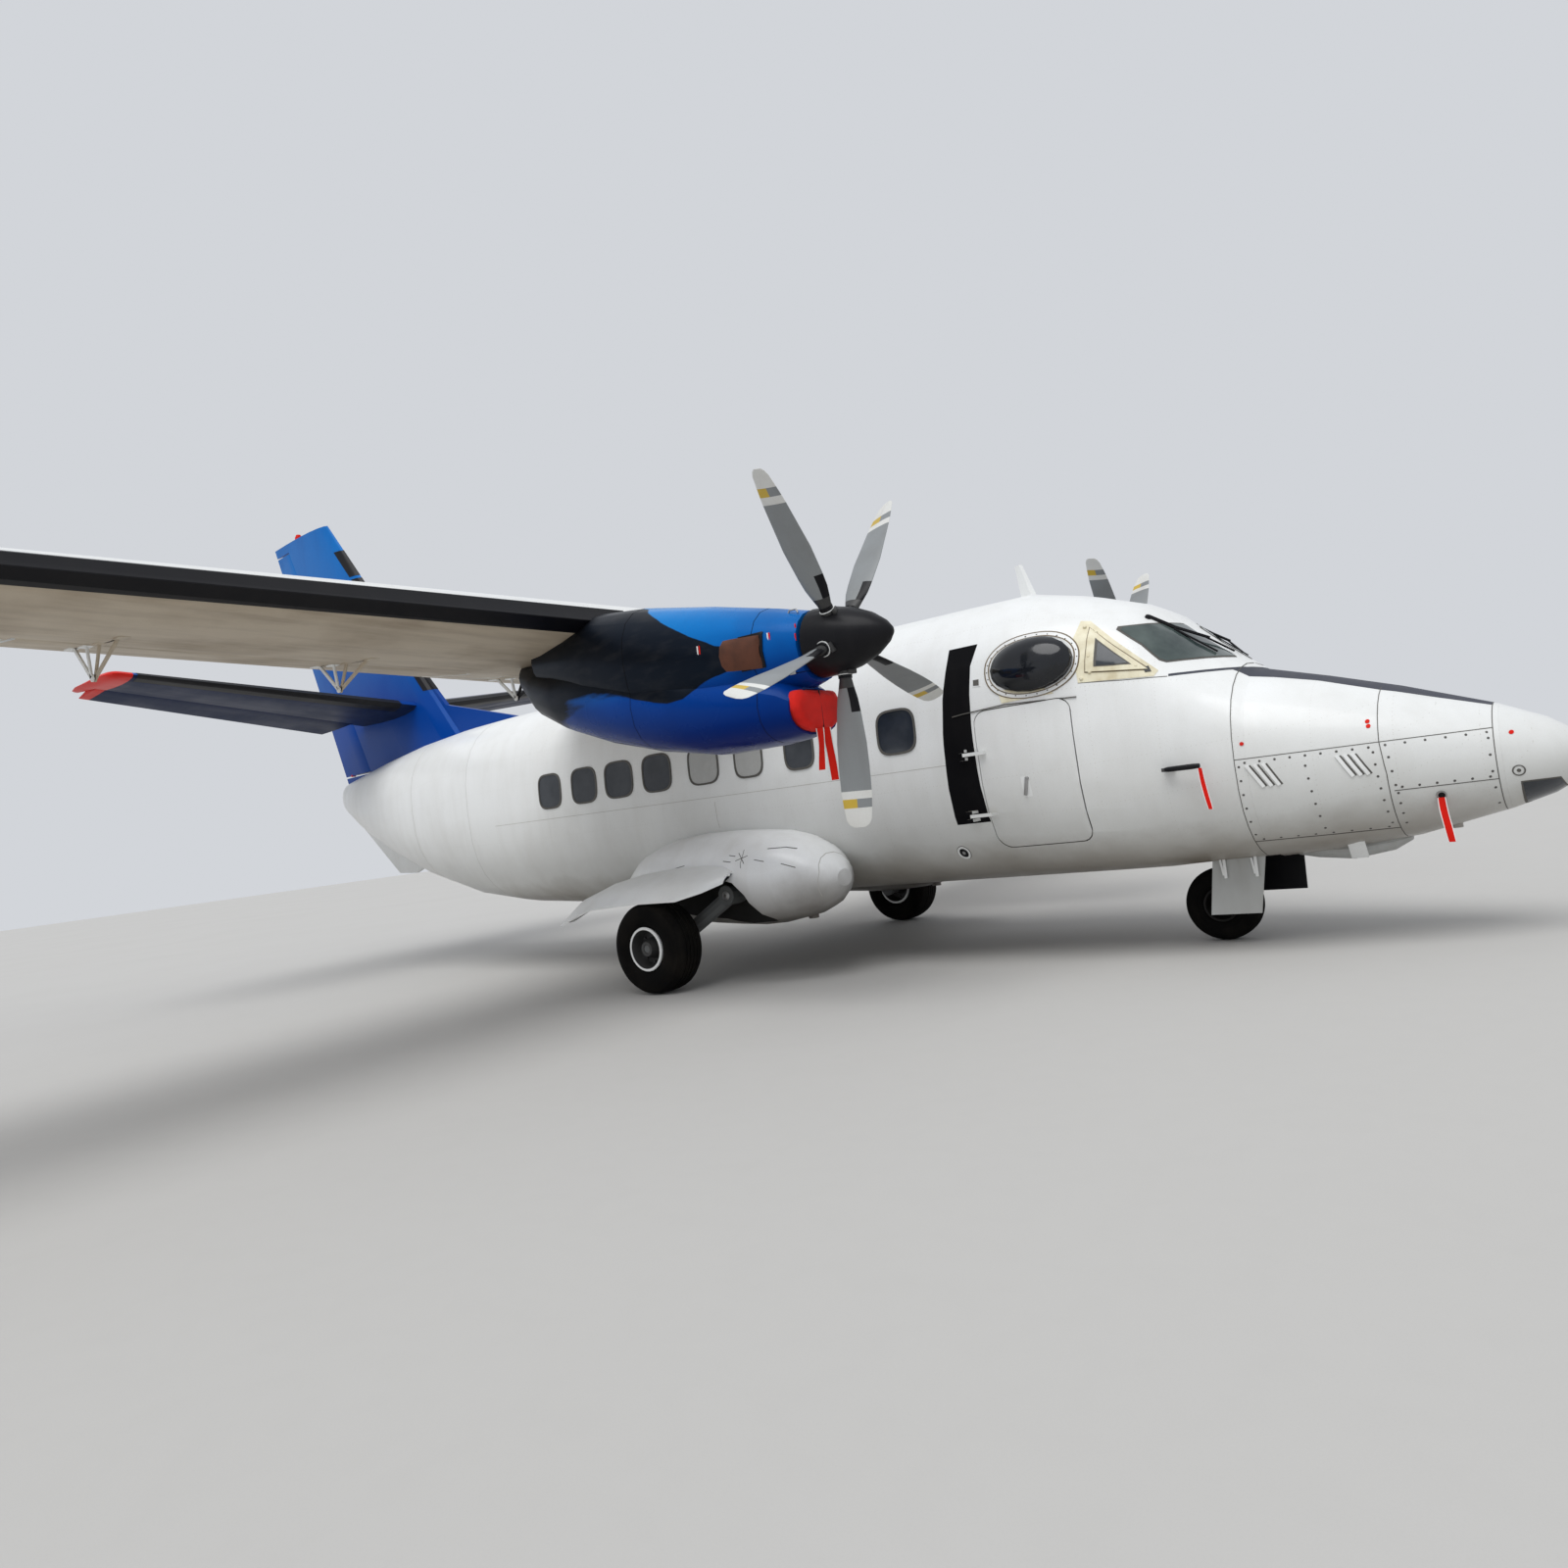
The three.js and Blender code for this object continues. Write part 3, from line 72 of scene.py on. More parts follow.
def linked(name, data):
    thing = bpy.data.objects.new(name, data)
    bpy.context.scene.collection.objects.link(thing)
    return thing


# Camera, as the photo was taken

camera = {
    "pixels": 1600, "focal": 1106.0, "sensor": 36.0,
    "place": (7.387, -7.888, 1.285), "yaw": 127.799, "pitch": 1.451, "roll": -7.297,
}


def makeCamera():
    yaw, pitch, roll = (math.radians(camera[k]) for k in ("yaw", "pitch", "roll"))
    ahead = Vector((math.cos(pitch) * math.cos(yaw), math.cos(pitch) * math.sin(yaw), math.sin(pitch)))
    flatRight = ahead.cross(Vector((0, 0, 1))).normalized()
    flatUp = flatRight.cross(ahead)
    right = math.cos(roll) * flatRight + math.sin(roll) * flatUp
    up = -math.sin(roll) * flatRight + math.cos(roll) * flatUp
    data = bpy.data.cameras.new("camera")
    data.sensor_width = camera["sensor"]
    data.lens = camera["focal"] / camera["pixels"] * camera["sensor"]
    data.clip_end = 500
    rig = linked("camera", data)
    rows = [(right[i], up[i], -ahead[i], camera["place"][i]) for i in range(3)]
    rig.matrix_world = Matrix((*rows, (0, 0, 0, 1)))
    bpy.context.scene.camera = rig


makeCamera()


# Small helpers

def useOnly(*things):  # with none, nothing stays selected
    for thing in bpy.context.view_layer.objects:
        thing.select_set(thing in things)
    if things:
        bpy.context.view_layer.objects.active = things[0]


def made(operator, **values):
    useOnly()
    operator(**values)
    return bpy.context.object


def edit(thing):
    useOnly(thing)
    bpy.ops.object.mode_set(mode="EDIT")
    bpy.ops.mesh.select_mode(type="VERT")
    bpy.ops.mesh.select_all(action="SELECT")


def leaveEdit(outward=False):
    if outward:
        bpy.ops.mesh.select_all(action="SELECT")
        bpy.ops.mesh.normals_make_consistent(inside=False)
    bpy.ops.object.mode_set(mode="OBJECT")


def dropFaces(thing, test):
    useOnly(thing)
    mesh = thing.data
    for part in (mesh.vertices, mesh.edges):
        part.foreach_set("select", [False] * len(part))
    mesh.polygons.foreach_set("select", [test(face) for face in mesh.polygons])
    bpy.context.tool_settings.mesh_select_mode = (False, False, True)
    bpy.ops.object.mode_set(mode="EDIT")
    bpy.ops.mesh.delete(type="FACE")
    leaveEdit()


def modify(thing, kind, **values):
    useOnly(thing)
    modifier = thing.modifiers.new(kind.lower(), kind)
    for name, value in values.items():
        setattr(modifier, name, value)
    bpy.ops.object.modifier_apply(modifier=modifier.name)


def thicken(thing, height):
    modify(thing, "SOLIDIFY", thickness=height, offset=1.0)
    return thing


def settle(thing):
    useOnly(thing)
    bpy.ops.object.transform_apply(location=True, rotation=True, scale=True)


def joined(things):
    useOnly(*things)
    if len(things) > 1:
        bpy.ops.object.join()
    return things[0]


def copied(thing, matrix=None):
    twin = linked(thing.name, thing.data.copy())
    if matrix is not None:
        twin.matrix_world = matrix
    return twin


def finish(thing, name, look, body="airframe", angle=35):
    settle(thing)
    thing.name = thing.data.name = name
    if look:
        thing.data.materials.clear()
        thing.data.materials.append(looks[look])
    bpy.ops.object.shade_smooth_by_angle(angle=math.radians(angle))
    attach(thing, body)
    return thing


def mirrored(thing):
    twin = copied(thing, Matrix.Diagonal((1, -1, 1, 1)))
    settle(twin)
    edit(twin)
    bpy.ops.mesh.flip_normals()
    leaveEdit()
    return twin


def finishBoth(piece, name, look, toPort=True):
    if toPort:
        finish(mirrored(piece), name + "left", look)
    finish(piece, name + "right", look)


def domed(radius, height, corners=8):
    piece = made(bpy.ops.mesh.primitive_circle_add, vertices=corners, radius=radius, fill_type="NGON")
    edit(piece)
    for rise, share in ((0.6, 1.0), (0.4, 0.6)):
        bpy.ops.mesh.extrude_region_move(TRANSFORM_OT_translate={"value": (0, 0, height * rise)})
        bpy.ops.transform.resize(value=(share, share, 1))
    leaveEdit(outward=True)
    return piece


def standing(spot, normal):  # a matrix that puts a piece's Z along the normal
    return Matrix.Translation(spot) @ Vector(normal).to_track_quat("Z", "Y").to_matrix().to_4x4()


def turned(spot, degrees, axis):
    return Matrix.Translation(spot) @ Matrix.Rotation(math.radians(degrees), 4, axis)


def tubeAlong(points, radius):
    line = bpy.data.curves.new("tube", "CURVE")
    line.dimensions = "3D"
    line.bevel_depth = radius
    line.bevel_resolution = 2
    line.use_fill_caps = True
    spline = line.splines.new("POLY")
    spline.points.add(len(points) - 1)
    for knot, spot in zip(spline.points, points):
        knot.co = (*spot, 1)
    useOnly(linked("tube", line))
    bpy.ops.object.convert(target="MESH")
    return bpy.context.object


barEdge = 0.15  # bevel, as a share of the bar's thinner side


def flatBar(start, end, wide, thick, across=(0, 1, 0)):  # wide lies along across
    start, end = Vector(start), Vector(end)
    up = (end - start).normalized()
    third = up.cross(Vector(across)).normalized()
    axes = Matrix((third, third.cross(up), up)).transposed().to_4x4()
    piece = made(bpy.ops.mesh.primitive_cube_add, size=1)
    piece.matrix_world = (Matrix.Translation((start + end) / 2) @ axes
                          @ Matrix.Diagonal((thick, wide, (end - start).length, 1)))
    settle(piece)
    modify(piece, "BEVEL", width=min(wide, thick) * barEdge, segments=2)
    return piece


def treeOf(thing):
    return BVHTree.FromObject(thing, bpy.context.evaluated_depsgraph_get())


def castInward(tree, s, y, z, side):  # where a ray towards the middle meets the tree, and the normal there
    return tree.ray_cast(at(s, y, z), Vector((0, -side, 0)))[:2]


# Nodes of a material

class Nodes:
    def __init__(self, name):
        self.material = bpy.data.materials.new(name)
        self.material.use_nodes = True
        self.tree = self.material.node_tree
        self.shader = self.tree.nodes["Principled BSDF"]
        self.place = self.add("TexCoord", {}, "Object")

    def add(self, kind, inputs, output=0, **fields):
        node = self.tree.nodes.new("ShaderNode" + kind)
        for name, value in fields.items():
            setattr(node, name, value)
        self.feed(node, inputs)
        return node.outputs[output]

    def feed(self, node, inputs):
        for key, value in inputs.items():
            socket = node.inputs[key]
            if isinstance(value, bpy.types.NodeSocket):
                self.tree.links.new(value, socket)
            elif isinstance(value, tuple) and len(value) < len(socket.default_value):
                socket.default_value = (*value, 1)
            else:
                socket.default_value = value

    def noise(self, scale, detail, stretch=None):
        place = self.add("Mapping", {"Vector": self.place, "Scale": stretch}) if stretch else self.place
        return self.add("TexNoise", {"Vector": place, "Scale": scale, "Detail": detail, "Roughness": 0.55}, "Fac")

    def range(self, value, low, high, toLow=0.0, toHigh=1.0):
        return self.add("MapRange", dict(enumerate((value, low, high, toLow, toHigh))))

    def calc(self, operation, *values):
        return self.add("Math", dict(enumerate(values)), operation=operation)

    def plus(self, first, second):
        return self.calc("ADD", first, second)

    def times(self, first, second):
        return self.calc("MULTIPLY", first, second)

    def blend(self, factor, first, second):
        return self.add("Mix", {0: factor, 6: first, 7: second}, 2, data_type="RGBA")

    def bump(self, height, distance, strength=0.4):
        normal = self.add("Bump", {"Strength": strength, "Distance": distance, "Height": height})
        self.feed(self.shader, {"Normal": normal})

    def axes(self):
        return self.add("SeparateXYZ", {0: self.place}).node.outputs

    def rivets(self):  # rows of small dots round the hull and along it
        x, y, z = self.axes()
        turn = self.calc("ARCTAN2", self.calc("SUBTRACT", z, 1.6), y)

        def near(value, pitch, reach):
            wrapped = self.calc("WRAP", value, pitch / 2, -pitch / 2)
            return self.calc("LESS_THAN", self.calc("ABSOLUTE", wrapped, 0.0), reach)

        hoops = self.times(near(x, 0.42, 0.0022), near(turn, 0.03, 0.0025))
        lines = self.times(near(turn, 0.262, 0.0025), near(x, 0.03, 0.0022))
        return self.calc("MAXIMUM", hoops, lines)


def paint(name, base, dirt, amount=0.25, cloud=1.6, streak=(7, 7, 0.9), grain=160.0, rough=(0.28, 0.5),
          metal=0.0, coat=0.0, bump=0.0004, low=(), rivets=False, shine=0.5, tint=(1, 1, 1)):
    nodes = Nodes(name)
    clouds = nodes.range(nodes.noise(cloud, 6), 0.42, 0.75)
    streaks = nodes.range(nodes.noise(1.0, 5, streak), 0.45, 0.8)
    fine = nodes.noise(grain, 2)
    colour = nodes.blend(nodes.times(nodes.plus(clouds, streaks), amount), base, dirt)
    colour = nodes.blend(nodes.range(fine, 0.45, 0.8, 0.0, 0.12), colour, dirt)
    if low:  # darker towards the foot
        wander = nodes.plus(nodes.axes()[2], nodes.range(clouds, 0, 1, 0.06, -0.06))
    for bottom, top, share, tone in low:
        colour = nodes.blend(nodes.range(wander, bottom, top, share, 0.0), colour, tone)
    height = nodes.plus(fine, nodes.times(clouds, 3.0))
    if rivets:
        dots = nodes.rivets()
        colour = nodes.blend(nodes.times(dots, 0.4), colour, dirt)
        height = nodes.plus(height, nodes.times(dots, 2.0))
    roughness = nodes.range(nodes.plus(clouds, nodes.times(fine, 0.5)), 0.0, 1.4, *rough)
    nodes.feed(nodes.shader, {
        "Base Color": colour, "Roughness": roughness, "Metallic": metal, "Specular IOR Level": shine,
        "Specular Tint": tint, "Coat Weight": coat, "Coat Roughness": 0.12})
    if bump:
        nodes.bump(height, bump)
    return nodes.material


looks = {
    # white paint: its first low band, greyer from z 1.70 down to 0.75, is painted shade as if lit from above; the
    # second, brown band is dirt on the belly
    "white": paint("white paint", (0.84, 0.85, 0.84), (0.42, 0.39, 0.33), 0.12, coat=0.2, rivets=True,
                   low=((0.75, 1.70, 0.62, (0.44, 0.44, 0.41)), (0.58, 0.94, 0.88, (0.19, 0.155, 0.115)))),
    "plainWhite": paint("chalky white paint", (0.84, 0.85, 0.84), (0.45, 0.42, 0.36), 0.14, coat=0.1),
    "sponson": paint("sponson white paint", (0.86, 0.87, 0.87), (0.42, 0.38, 0.32), 0.15, coat=0.2,
                     low=((0.48, 0.90, 0.95, (0.09, 0.07, 0.05)),)),
    # cream: the darker underside colour is dirt and painted shade
    "cream": paint("cream underside with dirt and painted shade", (0.53, 0.45, 0.34), (0.26, 0.20, 0.14), 0.55,
                   streak=(9, 1.2, 9), rough=(0.45, 0.7)),
    # tailplane undersides: the dark blue is painted shade, and its light streaks are painted reflections
    "shadedNavy": paint("scratched dark blue underside", (0.001, 0.008, 0.045), (0.05, 0.065, 0.10), 0.22,
                  streak=(3, 14, 14), rough=(0.35, 0.6), shine=0.1, tint=(0.3, 0.5, 1)),
    # blue paint: its low band, darker from z 4.6 down to 3.2 and below, is painted shade
    "blue": paint("gloss blue paint", (0.004, 0.15, 0.49), (0.002, 0.05, 0.25), 0.2, coat=0.04,
                  rough=(0.25, 0.46), shine=0.25, tint=(0.15, 0.45, 1), low=((3.2, 4.6, 1.0, (0.001, 0.045, 0.27)),)),
    "boot": paint("black boot rubber", (0.003, 0.003, 0.005), (0.014, 0.013, 0.013), 0.3, grain=320,
                  rough=(0.32, 0.5), bump=0.0006, shine=0.22),
    "satinBlack": paint("satin black paint", (0.004, 0.004, 0.006), (0.022, 0.021, 0.021), 0.22,
                        rough=(0.32, 0.52), coat=0.04, shine=0.16),
    "stripe": paint("matt black paint", (0.004, 0.004, 0.005), (0.02, 0.018, 0.017), 0.2, rough=(0.5, 0.7),
                    shine=0.05),
    "antiGlare": paint("dark grey matt paint", (0.062, 0.066, 0.085), (0.12, 0.12, 0.12), rough=(0.6, 0.8),
                       shine=0.15),
    "trim": paint("cabin trim", (0.42, 0.39, 0.33), (0.26, 0.23, 0.18), rough=(0.6, 0.8)),
    # bay: the near-black wheel bay is painted shade
    "bay": paint("near-black wheel bay, painted shade", (0.02, 0.019, 0.018), (0.006, 0.006, 0.006), 0.5, rough=(0.5, 0.75), shine=0.1),
    "grey": paint("satin grey paint", (0.11, 0.115, 0.115), (0.04, 0.035, 0.03), 0.35, rough=(0.4, 0.65)),
    "bladeGrey": paint("grey blade paint", (0.25, 0.265, 0.27), (0.12, 0.11, 0.10), 0.22, rough=(0.4, 0.6)),
    "bladeWhite": paint("white blade paint", (0.74, 0.74, 0.71), (0.35, 0.31, 0.25), rough=(0.4, 0.6)),
    "bladeYellow": paint("yellow blade paint", (0.62, 0.42, 0.04), (0.3, 0.22, 0.08), rough=(0.4, 0.6)),
    "steel": paint("bare metal", (0.42, 0.42, 0.42), (0.16, 0.14, 0.12), 0.35, metal=0.8, rough=(0.3, 0.55)),
    "darkSteel": paint("oily dark metal", (0.07, 0.07, 0.07), (0.03, 0.027, 0.024), 0.4, metal=0.4,
                       rough=(0.35, 0.6), shine=0.3),
    "copper": paint("heat-stained copper brown", (0.115, 0.042, 0.024), (0.035, 0.018, 0.013), 0.5, cloud=9.0,
                    metal=0.4, rough=(0.35, 0.6), shine=0.3),
    "rubber": paint("tyre rubber", (0.004, 0.004, 0.004), (0.026, 0.022, 0.018), 0.3, cloud=5.0, grain=420,
                    rough=(0.65, 0.85), bump=0.0006, shine=0.04),
    "seal": paint("cream sealant", (0.84, 0.79, 0.60), (0.46, 0.36, 0.18), 0.4, cloud=12.0, grain=260,
                  rough=(0.5, 0.75), bump=0.001),
    "faint": paint("faint seam", (0.52, 0.51, 0.48), (0.36, 0.34, 0.30), 0.3, rough=(0.5, 0.7)),
    "doorGrey": paint("dull light grey paint", (0.45, 0.46, 0.45), (0.22, 0.20, 0.17), 0.3, rough=(0.4, 0.6)),
    "seam": paint("dark seam", (0.10, 0.095, 0.085), (0.04, 0.035, 0.03), 0.3, rough=(0.6, 0.8)),
    "screw": paint("screw head", (0.10, 0.095, 0.09), (0.08, 0.07, 0.06), 0.3, metal=0.4, rough=(0.4, 0.6)),
    "red": paint("red paint", (0.68, 0.014, 0.009), (0.45, 0.02, 0.012), 0.2, rough=(0.3, 0.5), shine=0.25,
                 tint=(1, 0.3, 0.2)),
    "stain": paint("brown stain round a pane", (0.17, 0.12, 0.06), (0.07, 0.05, 0.03), 0.4, rough=(0.5, 0.8)),
    # the pale pane stands for painted light seen through the cabin
    "paneLight": paint("pale pane, painted light seen through the cabin", (0.42, 0.42, 0.40), (0.28, 0.28, 0.27), 0.3, rough=(0.2, 0.4),
                   coat=0.6),
}
print("paints made")


def glass(name, base, rough, haze):
    nodes = Nodes(name)
    nodes.feed(nodes.shader, {
        "Base Color": nodes.blend(nodes.range(nodes.noise(3.0, 5), 0.35, 0.8), base, haze),
        "Roughness": nodes.range(nodes.noise(14.0, 4), 0.3, 0.8, rough, rough + 0.16),
        "Specular IOR Level": 0.3, "Coat Weight": 0.25, "Coat Roughness": 0.05})
    return nodes.material


def canvas():
    nodes = Nodes("red canvas")
    weave = {"Vector": nodes.place, "Scale": 260}
    threads = nodes.plus(nodes.add("TexWave", {**weave, "Distortion": 0.6}, "Fac"),
                         nodes.add("TexWave", weave, "Fac", bands_direction="Z"))
    fade = nodes.range(nodes.noise(7.0, 5), 0.35, 0.8)
    nodes.feed(nodes.shader, {
        "Base Color": nodes.blend(fade, (0.84, 0.02, 0.012), (0.58, 0.012, 0.008)), "Roughness": 0.72,
        "Sheen Weight": 0.05, "Specular IOR Level": 0.2})
    nodes.bump(threads, 0.0006, 0.5)
    return nodes.material


nacelleSoot = {
    # station and height of the black panel's edges behind the exhausts
    "from": 4.1, "to": 6.5, "starts": 4.12, "low": 1.5, "high": 3.1,
    "upper": [(4.1, 2.34), (4.24, 2.374), (4.42, 2.467), (4.65, 2.586), (4.95, 2.773), (5.2, 2.86), (6.5, 2.95)],
    "lower": [(4.1, 2.215), (4.27, 2.187), (4.43, 2.14), (4.55, 2.089), (4.69, 2.081), (4.91, 2.136),
              (5.25, 2.232), (5.45, 2.27), (5.7, 2.2), (5.85, 2.1), (6.05, 2.05), (6.5, 1.95)],
}


def nacellePaint():
    nodes = Nodes("gloss blue paint with black soot panel")
    x, y, z = nodes.axes()
    station = nodes.calc("SUBTRACT", noseX, x)
    first, last, low, high = (nacelleSoot[k] for k in ("from", "to", "low", "high"))

    def limit(points):
        height = nodes.add("FloatCurve", {"Value": nodes.range(station, first, last)})
        mapping = height.node.mapping
        line = mapping.curves[0]
        spots = [((s - first) / (last - first), (height - low) / (high - low)) for s, height in points]
        line.points[0].location, line.points[1].location = spots[0], spots[-1]
        for spot in spots[1:-1]:
            line.points.new(*spot).handle_type = "VECTOR"
        mapping.update()
        return nodes.range(height, 0, 1, low, high)

    soft = nodes.range(station, 5.0, 5.6, 0.006, 0.09)
    smoke = nodes.range(nodes.noise(3.0, 5, (0.7, 1, 3)), 0.3, 0.7, -1.0, 1.0)
    height = nodes.plus(z, nodes.times(smoke, soft))

    def past(above, below):  # 1 where the first is above the second, over a soft edge
        return nodes.range(nodes.calc("DIVIDE", nodes.calc("SUBTRACT", above, below), soft), -0.5, 0.5)

    inside = nodes.times(past(limit(nacelleSoot["upper"]), height), past(height, limit(nacelleSoot["lower"])))
    inside = nodes.times(inside, nodes.calc("GREATER_THAN", station, nacelleSoot["starts"]))
    clouds = nodes.range(nodes.noise(2.2, 6), 0.4, 0.75)
    # lighter blue towards the top: painted highlight
    blue = nodes.blend(nodes.range(z, 2.15, 2.9), (0.001, 0.06, 0.33), (0.005, 0.26, 0.66))
    # near-black blue towards the foot: painted shade
    blue = nodes.blend(nodes.range(z, 1.75, 2.25, 1.0, 0.0), blue, (0.0002, 0.007, 0.12))
    blue = nodes.blend(nodes.times(clouds, 0.3), blue, (0.001, 0.02, 0.14))
    soot = nodes.blend(nodes.range(nodes.noise(5.0, 6, (1, 1, 3)), 0.5, 0.8, 0, 0.4),
                       (0.003, 0.003, 0.0035), (0.03, 0.027, 0.025))
    nodes.feed(nodes.shader, {
        "Base Color": nodes.blend(inside, blue, soot),
        "Roughness": nodes.plus(nodes.range(clouds, 0, 1, 0.2, 0.36), nodes.times(inside, 0.16)),
        "Specular IOR Level": 0.2, "Specular Tint": (0.15, 0.45, 1), "Coat Weight": 0.04, "Coat Roughness": 0.1})
    return nodes.material


looks["cabinGlass"] = glass("cabin window pane", (0.018, 0.022, 0.028), 0.08, (0.06, 0.066, 0.075))
looks["screenGlass"] = glass("windscreen pane", (0.03, 0.045, 0.045), 0.05, (0.12, 0.15, 0.14))
looks["bubbleGlass"] = glass("dark bubble pane", (0.004, 0.005, 0.007), 0.05, (0.018, 0.020, 0.025))
looks["canvas"] = canvas()
looks["nacelle"] = nacellePaint()


# Smooth copies of the curved CAD nodes, with the paint on them

def cut(thing, point, normal, keep="inside", fill=False):
    edit(thing)
    bpy.ops.mesh.bisect(plane_co=point, plane_no=normal, clear_outer=keep == "inside", use_fill=fill)
    leaveEdit()


def paintWhere(thing, look, test):  # test says of a face whether it takes the look
    thing.data.materials.append(looks[look])
    for face in thing.data.polygons:
        if test(face):
            face.material_index = len(thing.data.materials) - 1


def inwardFace(face, limit=0.35):  # of the hull: it looks into the cabin or at a neighbour
    centre = face.center
    out = centre - Vector((centre.x, 0, 1.15 if centre.x > 5.0 else 1.62 if centre.x > -2.5 else 1.9))
    return out.normalized().dot(face.normal) < limit


def named(words):  # a name that ends in _ stands for its right and its left node
    return [word + end for word in words.split() for end in (("right", "left") if word[-1] == "_" else ("",))]


hullNames, doorNames = "nose_cone nose_section cabin tail_cone ", "crew_door passenger_door cargo_door baggage_door "
wingNames = "wing_ wing_centre aileron_ flap_inner_ flap_outer_ "
skins = {
    "white": hullNames + doorNames + "ventral_fin", "sponson": "sponson_",
    "plainWhite": wingNames + "main_gear_door_ roof_aerial", "blue": "fin rudder tailplane_ elevator_",
    "doorGrey": "nose_fairing", "satinBlack": "spinner_", "bubbleGlass": "side_window_",
    "copper": "exhaust_outer_ exhaust_inner_", "grey": "main_leg_ nose_leg", "darkSteel": "nose_fork pitot_",
    "nacelle": "nacelle_",
}
skin = {}
for look, words in skins.items():
    for nodeName in named(words):
        piece = skin[nodeName] = copied(frame["nodes"][nodeName])
        edit(piece)
        bpy.ops.mesh.remove_doubles(threshold=0.0001)
        leaveEdit()
        bpy.ops.mesh.customdata_custom_splitnormals_clear()
        finish(piece, nodeName + "_skin", look, frame["nodes"][nodeName]["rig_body"], 28)
        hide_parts(nodeName)
# wing faces turned down are darkened: dirt and painted shade
for nodeName in named(wingNames):
    paintWhere(skin[nodeName], "cream", lambda face: face.normal.z < -0.25)
for nodeName in named("cabin tail_cone passenger_door cargo_door crew_door"):
    paintWhere(skin[nodeName], "trim", lambda face: inwardFace(face, -0.2))
for nodeName in named(skins["copper"]):
    cut(skin[nodeName], at(3.90, 0, 0), (1, 0, 0), fill=True)  # its foot ends under the flange

wheelBay = {"wall": 1.33, "ceiling": 0.812, "fore": 5.0}


def inBay(face):
    x, y, z = face.center
    outward = math.copysign(1, y) * face.normal.y
    if noseX - x < wheelBay["fore"] or z > wheelBay["ceiling"] + 0.002:
        return False
    return ((abs(abs(y) - wheelBay["wall"]) < 0.003 and outward > 0.9)
            or (z > wheelBay["ceiling"] - 0.01 and face.normal.z < -0.9)
            or (abs(face.normal.y) < 0.001 and abs(y) > wheelBay["wall"]))


tailTip = 3.14  # half span where the red tips begin
for hand, side in sides:
    # the wheel bay's walls and ceiling are painted near black: painted shade
    paintWhere(skin["sponson_" + hand], "bay", inBay)
    for nodeName in ("tailplane_", "elevator_"):
        piece = skin[nodeName + hand]
        # faces turned down take the dark blue of painted shade
        paintWhere(piece, "shadedNavy", lambda face: face.normal.z < -0.3)
        cut(piece, (0, side * tailTip, 0), (0, side, 0), keep="both")
        paintWhere(piece, "red", lambda face: face.center.y * side > tailTip)
print("smooth skins made")


# The outside of the fuselage alone, to lay thin things on

def outerSkin(words):
    whole = joined([copied(skin[nodeName]) for nodeName in words.split()])
    dropFaces(whole, inwardFace)
    return whole


form, wholeForm = outerSkin(hullNames), outerSkin(hullNames + doorNames)
skinTree = treeOf(wholeForm)
rayFrom = 3  # metres out from the middle
patchFrom, patchLift = 1.7, 0.0005  # where flat patches start, and how far off the skin they are laid


def onSkin(station, z, side):
    return castInward(skinTree, station, side * rayFrom, z, side)


def sliced(planes, source=None):
    piece = copied(source or form)
    edit(piece)
    for point, normal in planes:
        bpy.ops.mesh.select_all(action="SELECT")
        bpy.ops.mesh.bisect(plane_co=point, plane_no=normal, clear_outer=True)
    leaveEdit()
    return piece


def sidePlane(side):  # keeps what lies past the middle on that side
    return (0, side * 0.02, 0), (0, -side, 0)


def strip(start, end, width, side, source=None):  # a narrow piece of the skin along a line
    a, b = at(start[0], 0, start[1]), at(end[0], 0, end[1])
    along = (b - a).normalized()
    across = Vector((-along.z, 0, along.x))
    planes = [(a - along * width * 0.3, -along), (b + along * width * 0.3, along),
              (a + across * width / 2, across), (a - across * width / 2, -across)]
    return sliced(planes + ([sidePlane(side)] if side else []), source)


def gathered(pieces):  # joins what isn't empty
    filled = [piece for piece in pieces if len(piece.data.polygons)]
    for piece in pieces:
        if piece not in filled:
            bpy.data.objects.remove(piece)
    return joined(filled)


def seams(name, lines, side, width=0.0045, height=0.0015, look="seam", source=None):
    pieces = [strip(start, end, width, side, source) for line in lines for start, end in zip(line, line[1:])]
    finish(thicken(gathered(pieces), height), name, look)


def polygonOnSkin(points, side, height, source=None):  # a convex outline of station and z
    middle = sum((at(s, 0, z) for s, z in points), Vector()) / len(points)
    planes = [sidePlane(side)]
    for (s0, z0), (s1, z1) in zip(points, points[1:] + points[:1]):
        a, b = at(s0, 0, z0), at(s1, 0, z1)
        normal = (b - a).cross(Vector((0, 1, 0))).normalized()
        planes.append((a, -normal if normal.dot(middle - a) > 0 else normal))
    return thicken(sliced(planes, source), height)


fuselageLines = {
    # name: width, height, look, lines of station and z
    "fuselage_seams_": (0.0045, 0.0015, "seam", [
        [(0.43, 1.395), (0.43, 0.75)], [(0.985, 1.58), (0.985, 1.25), (0.966, 1.05), (0.963, 0.64)],
        [(1.757, 1.90), (1.757, 0.56)], [(0.43, 1.247), (1.757, 1.247)], [(0.434, 0.947), (0.94, 0.947)],
        [(0.962, 0.712), (1.757, 0.712)], [(2.101, 1.839), (2.356, 1.857), (2.633, 1.885)]]),
    "fuselage_faint_seams_": (0.0045, 0.001, "faint", [
        [(3.66, 1.465), (5.2, 1.475), (8.9, 1.51)], [(9.36, 2.62), (9.36, 0.67)], [(10.6, 2.60), (10.6, 0.9)],
        [(5.9, 1.44), (5.9, 1.22)]]),
    "door_gutter_": (0.007, 0.008, "seam", [[(3.559, 1.799), (3.479, 1.807), (3.15, 1.824), (2.654, 1.796)]]),
}
for hand, side in sides:
    for name, (width, height, look, lines) in fuselageLines.items():
        seams(name + hand, lines, side, width, height, look)
print("seams laid")


# Screws and louvres of the nose, and thin patches on the skin

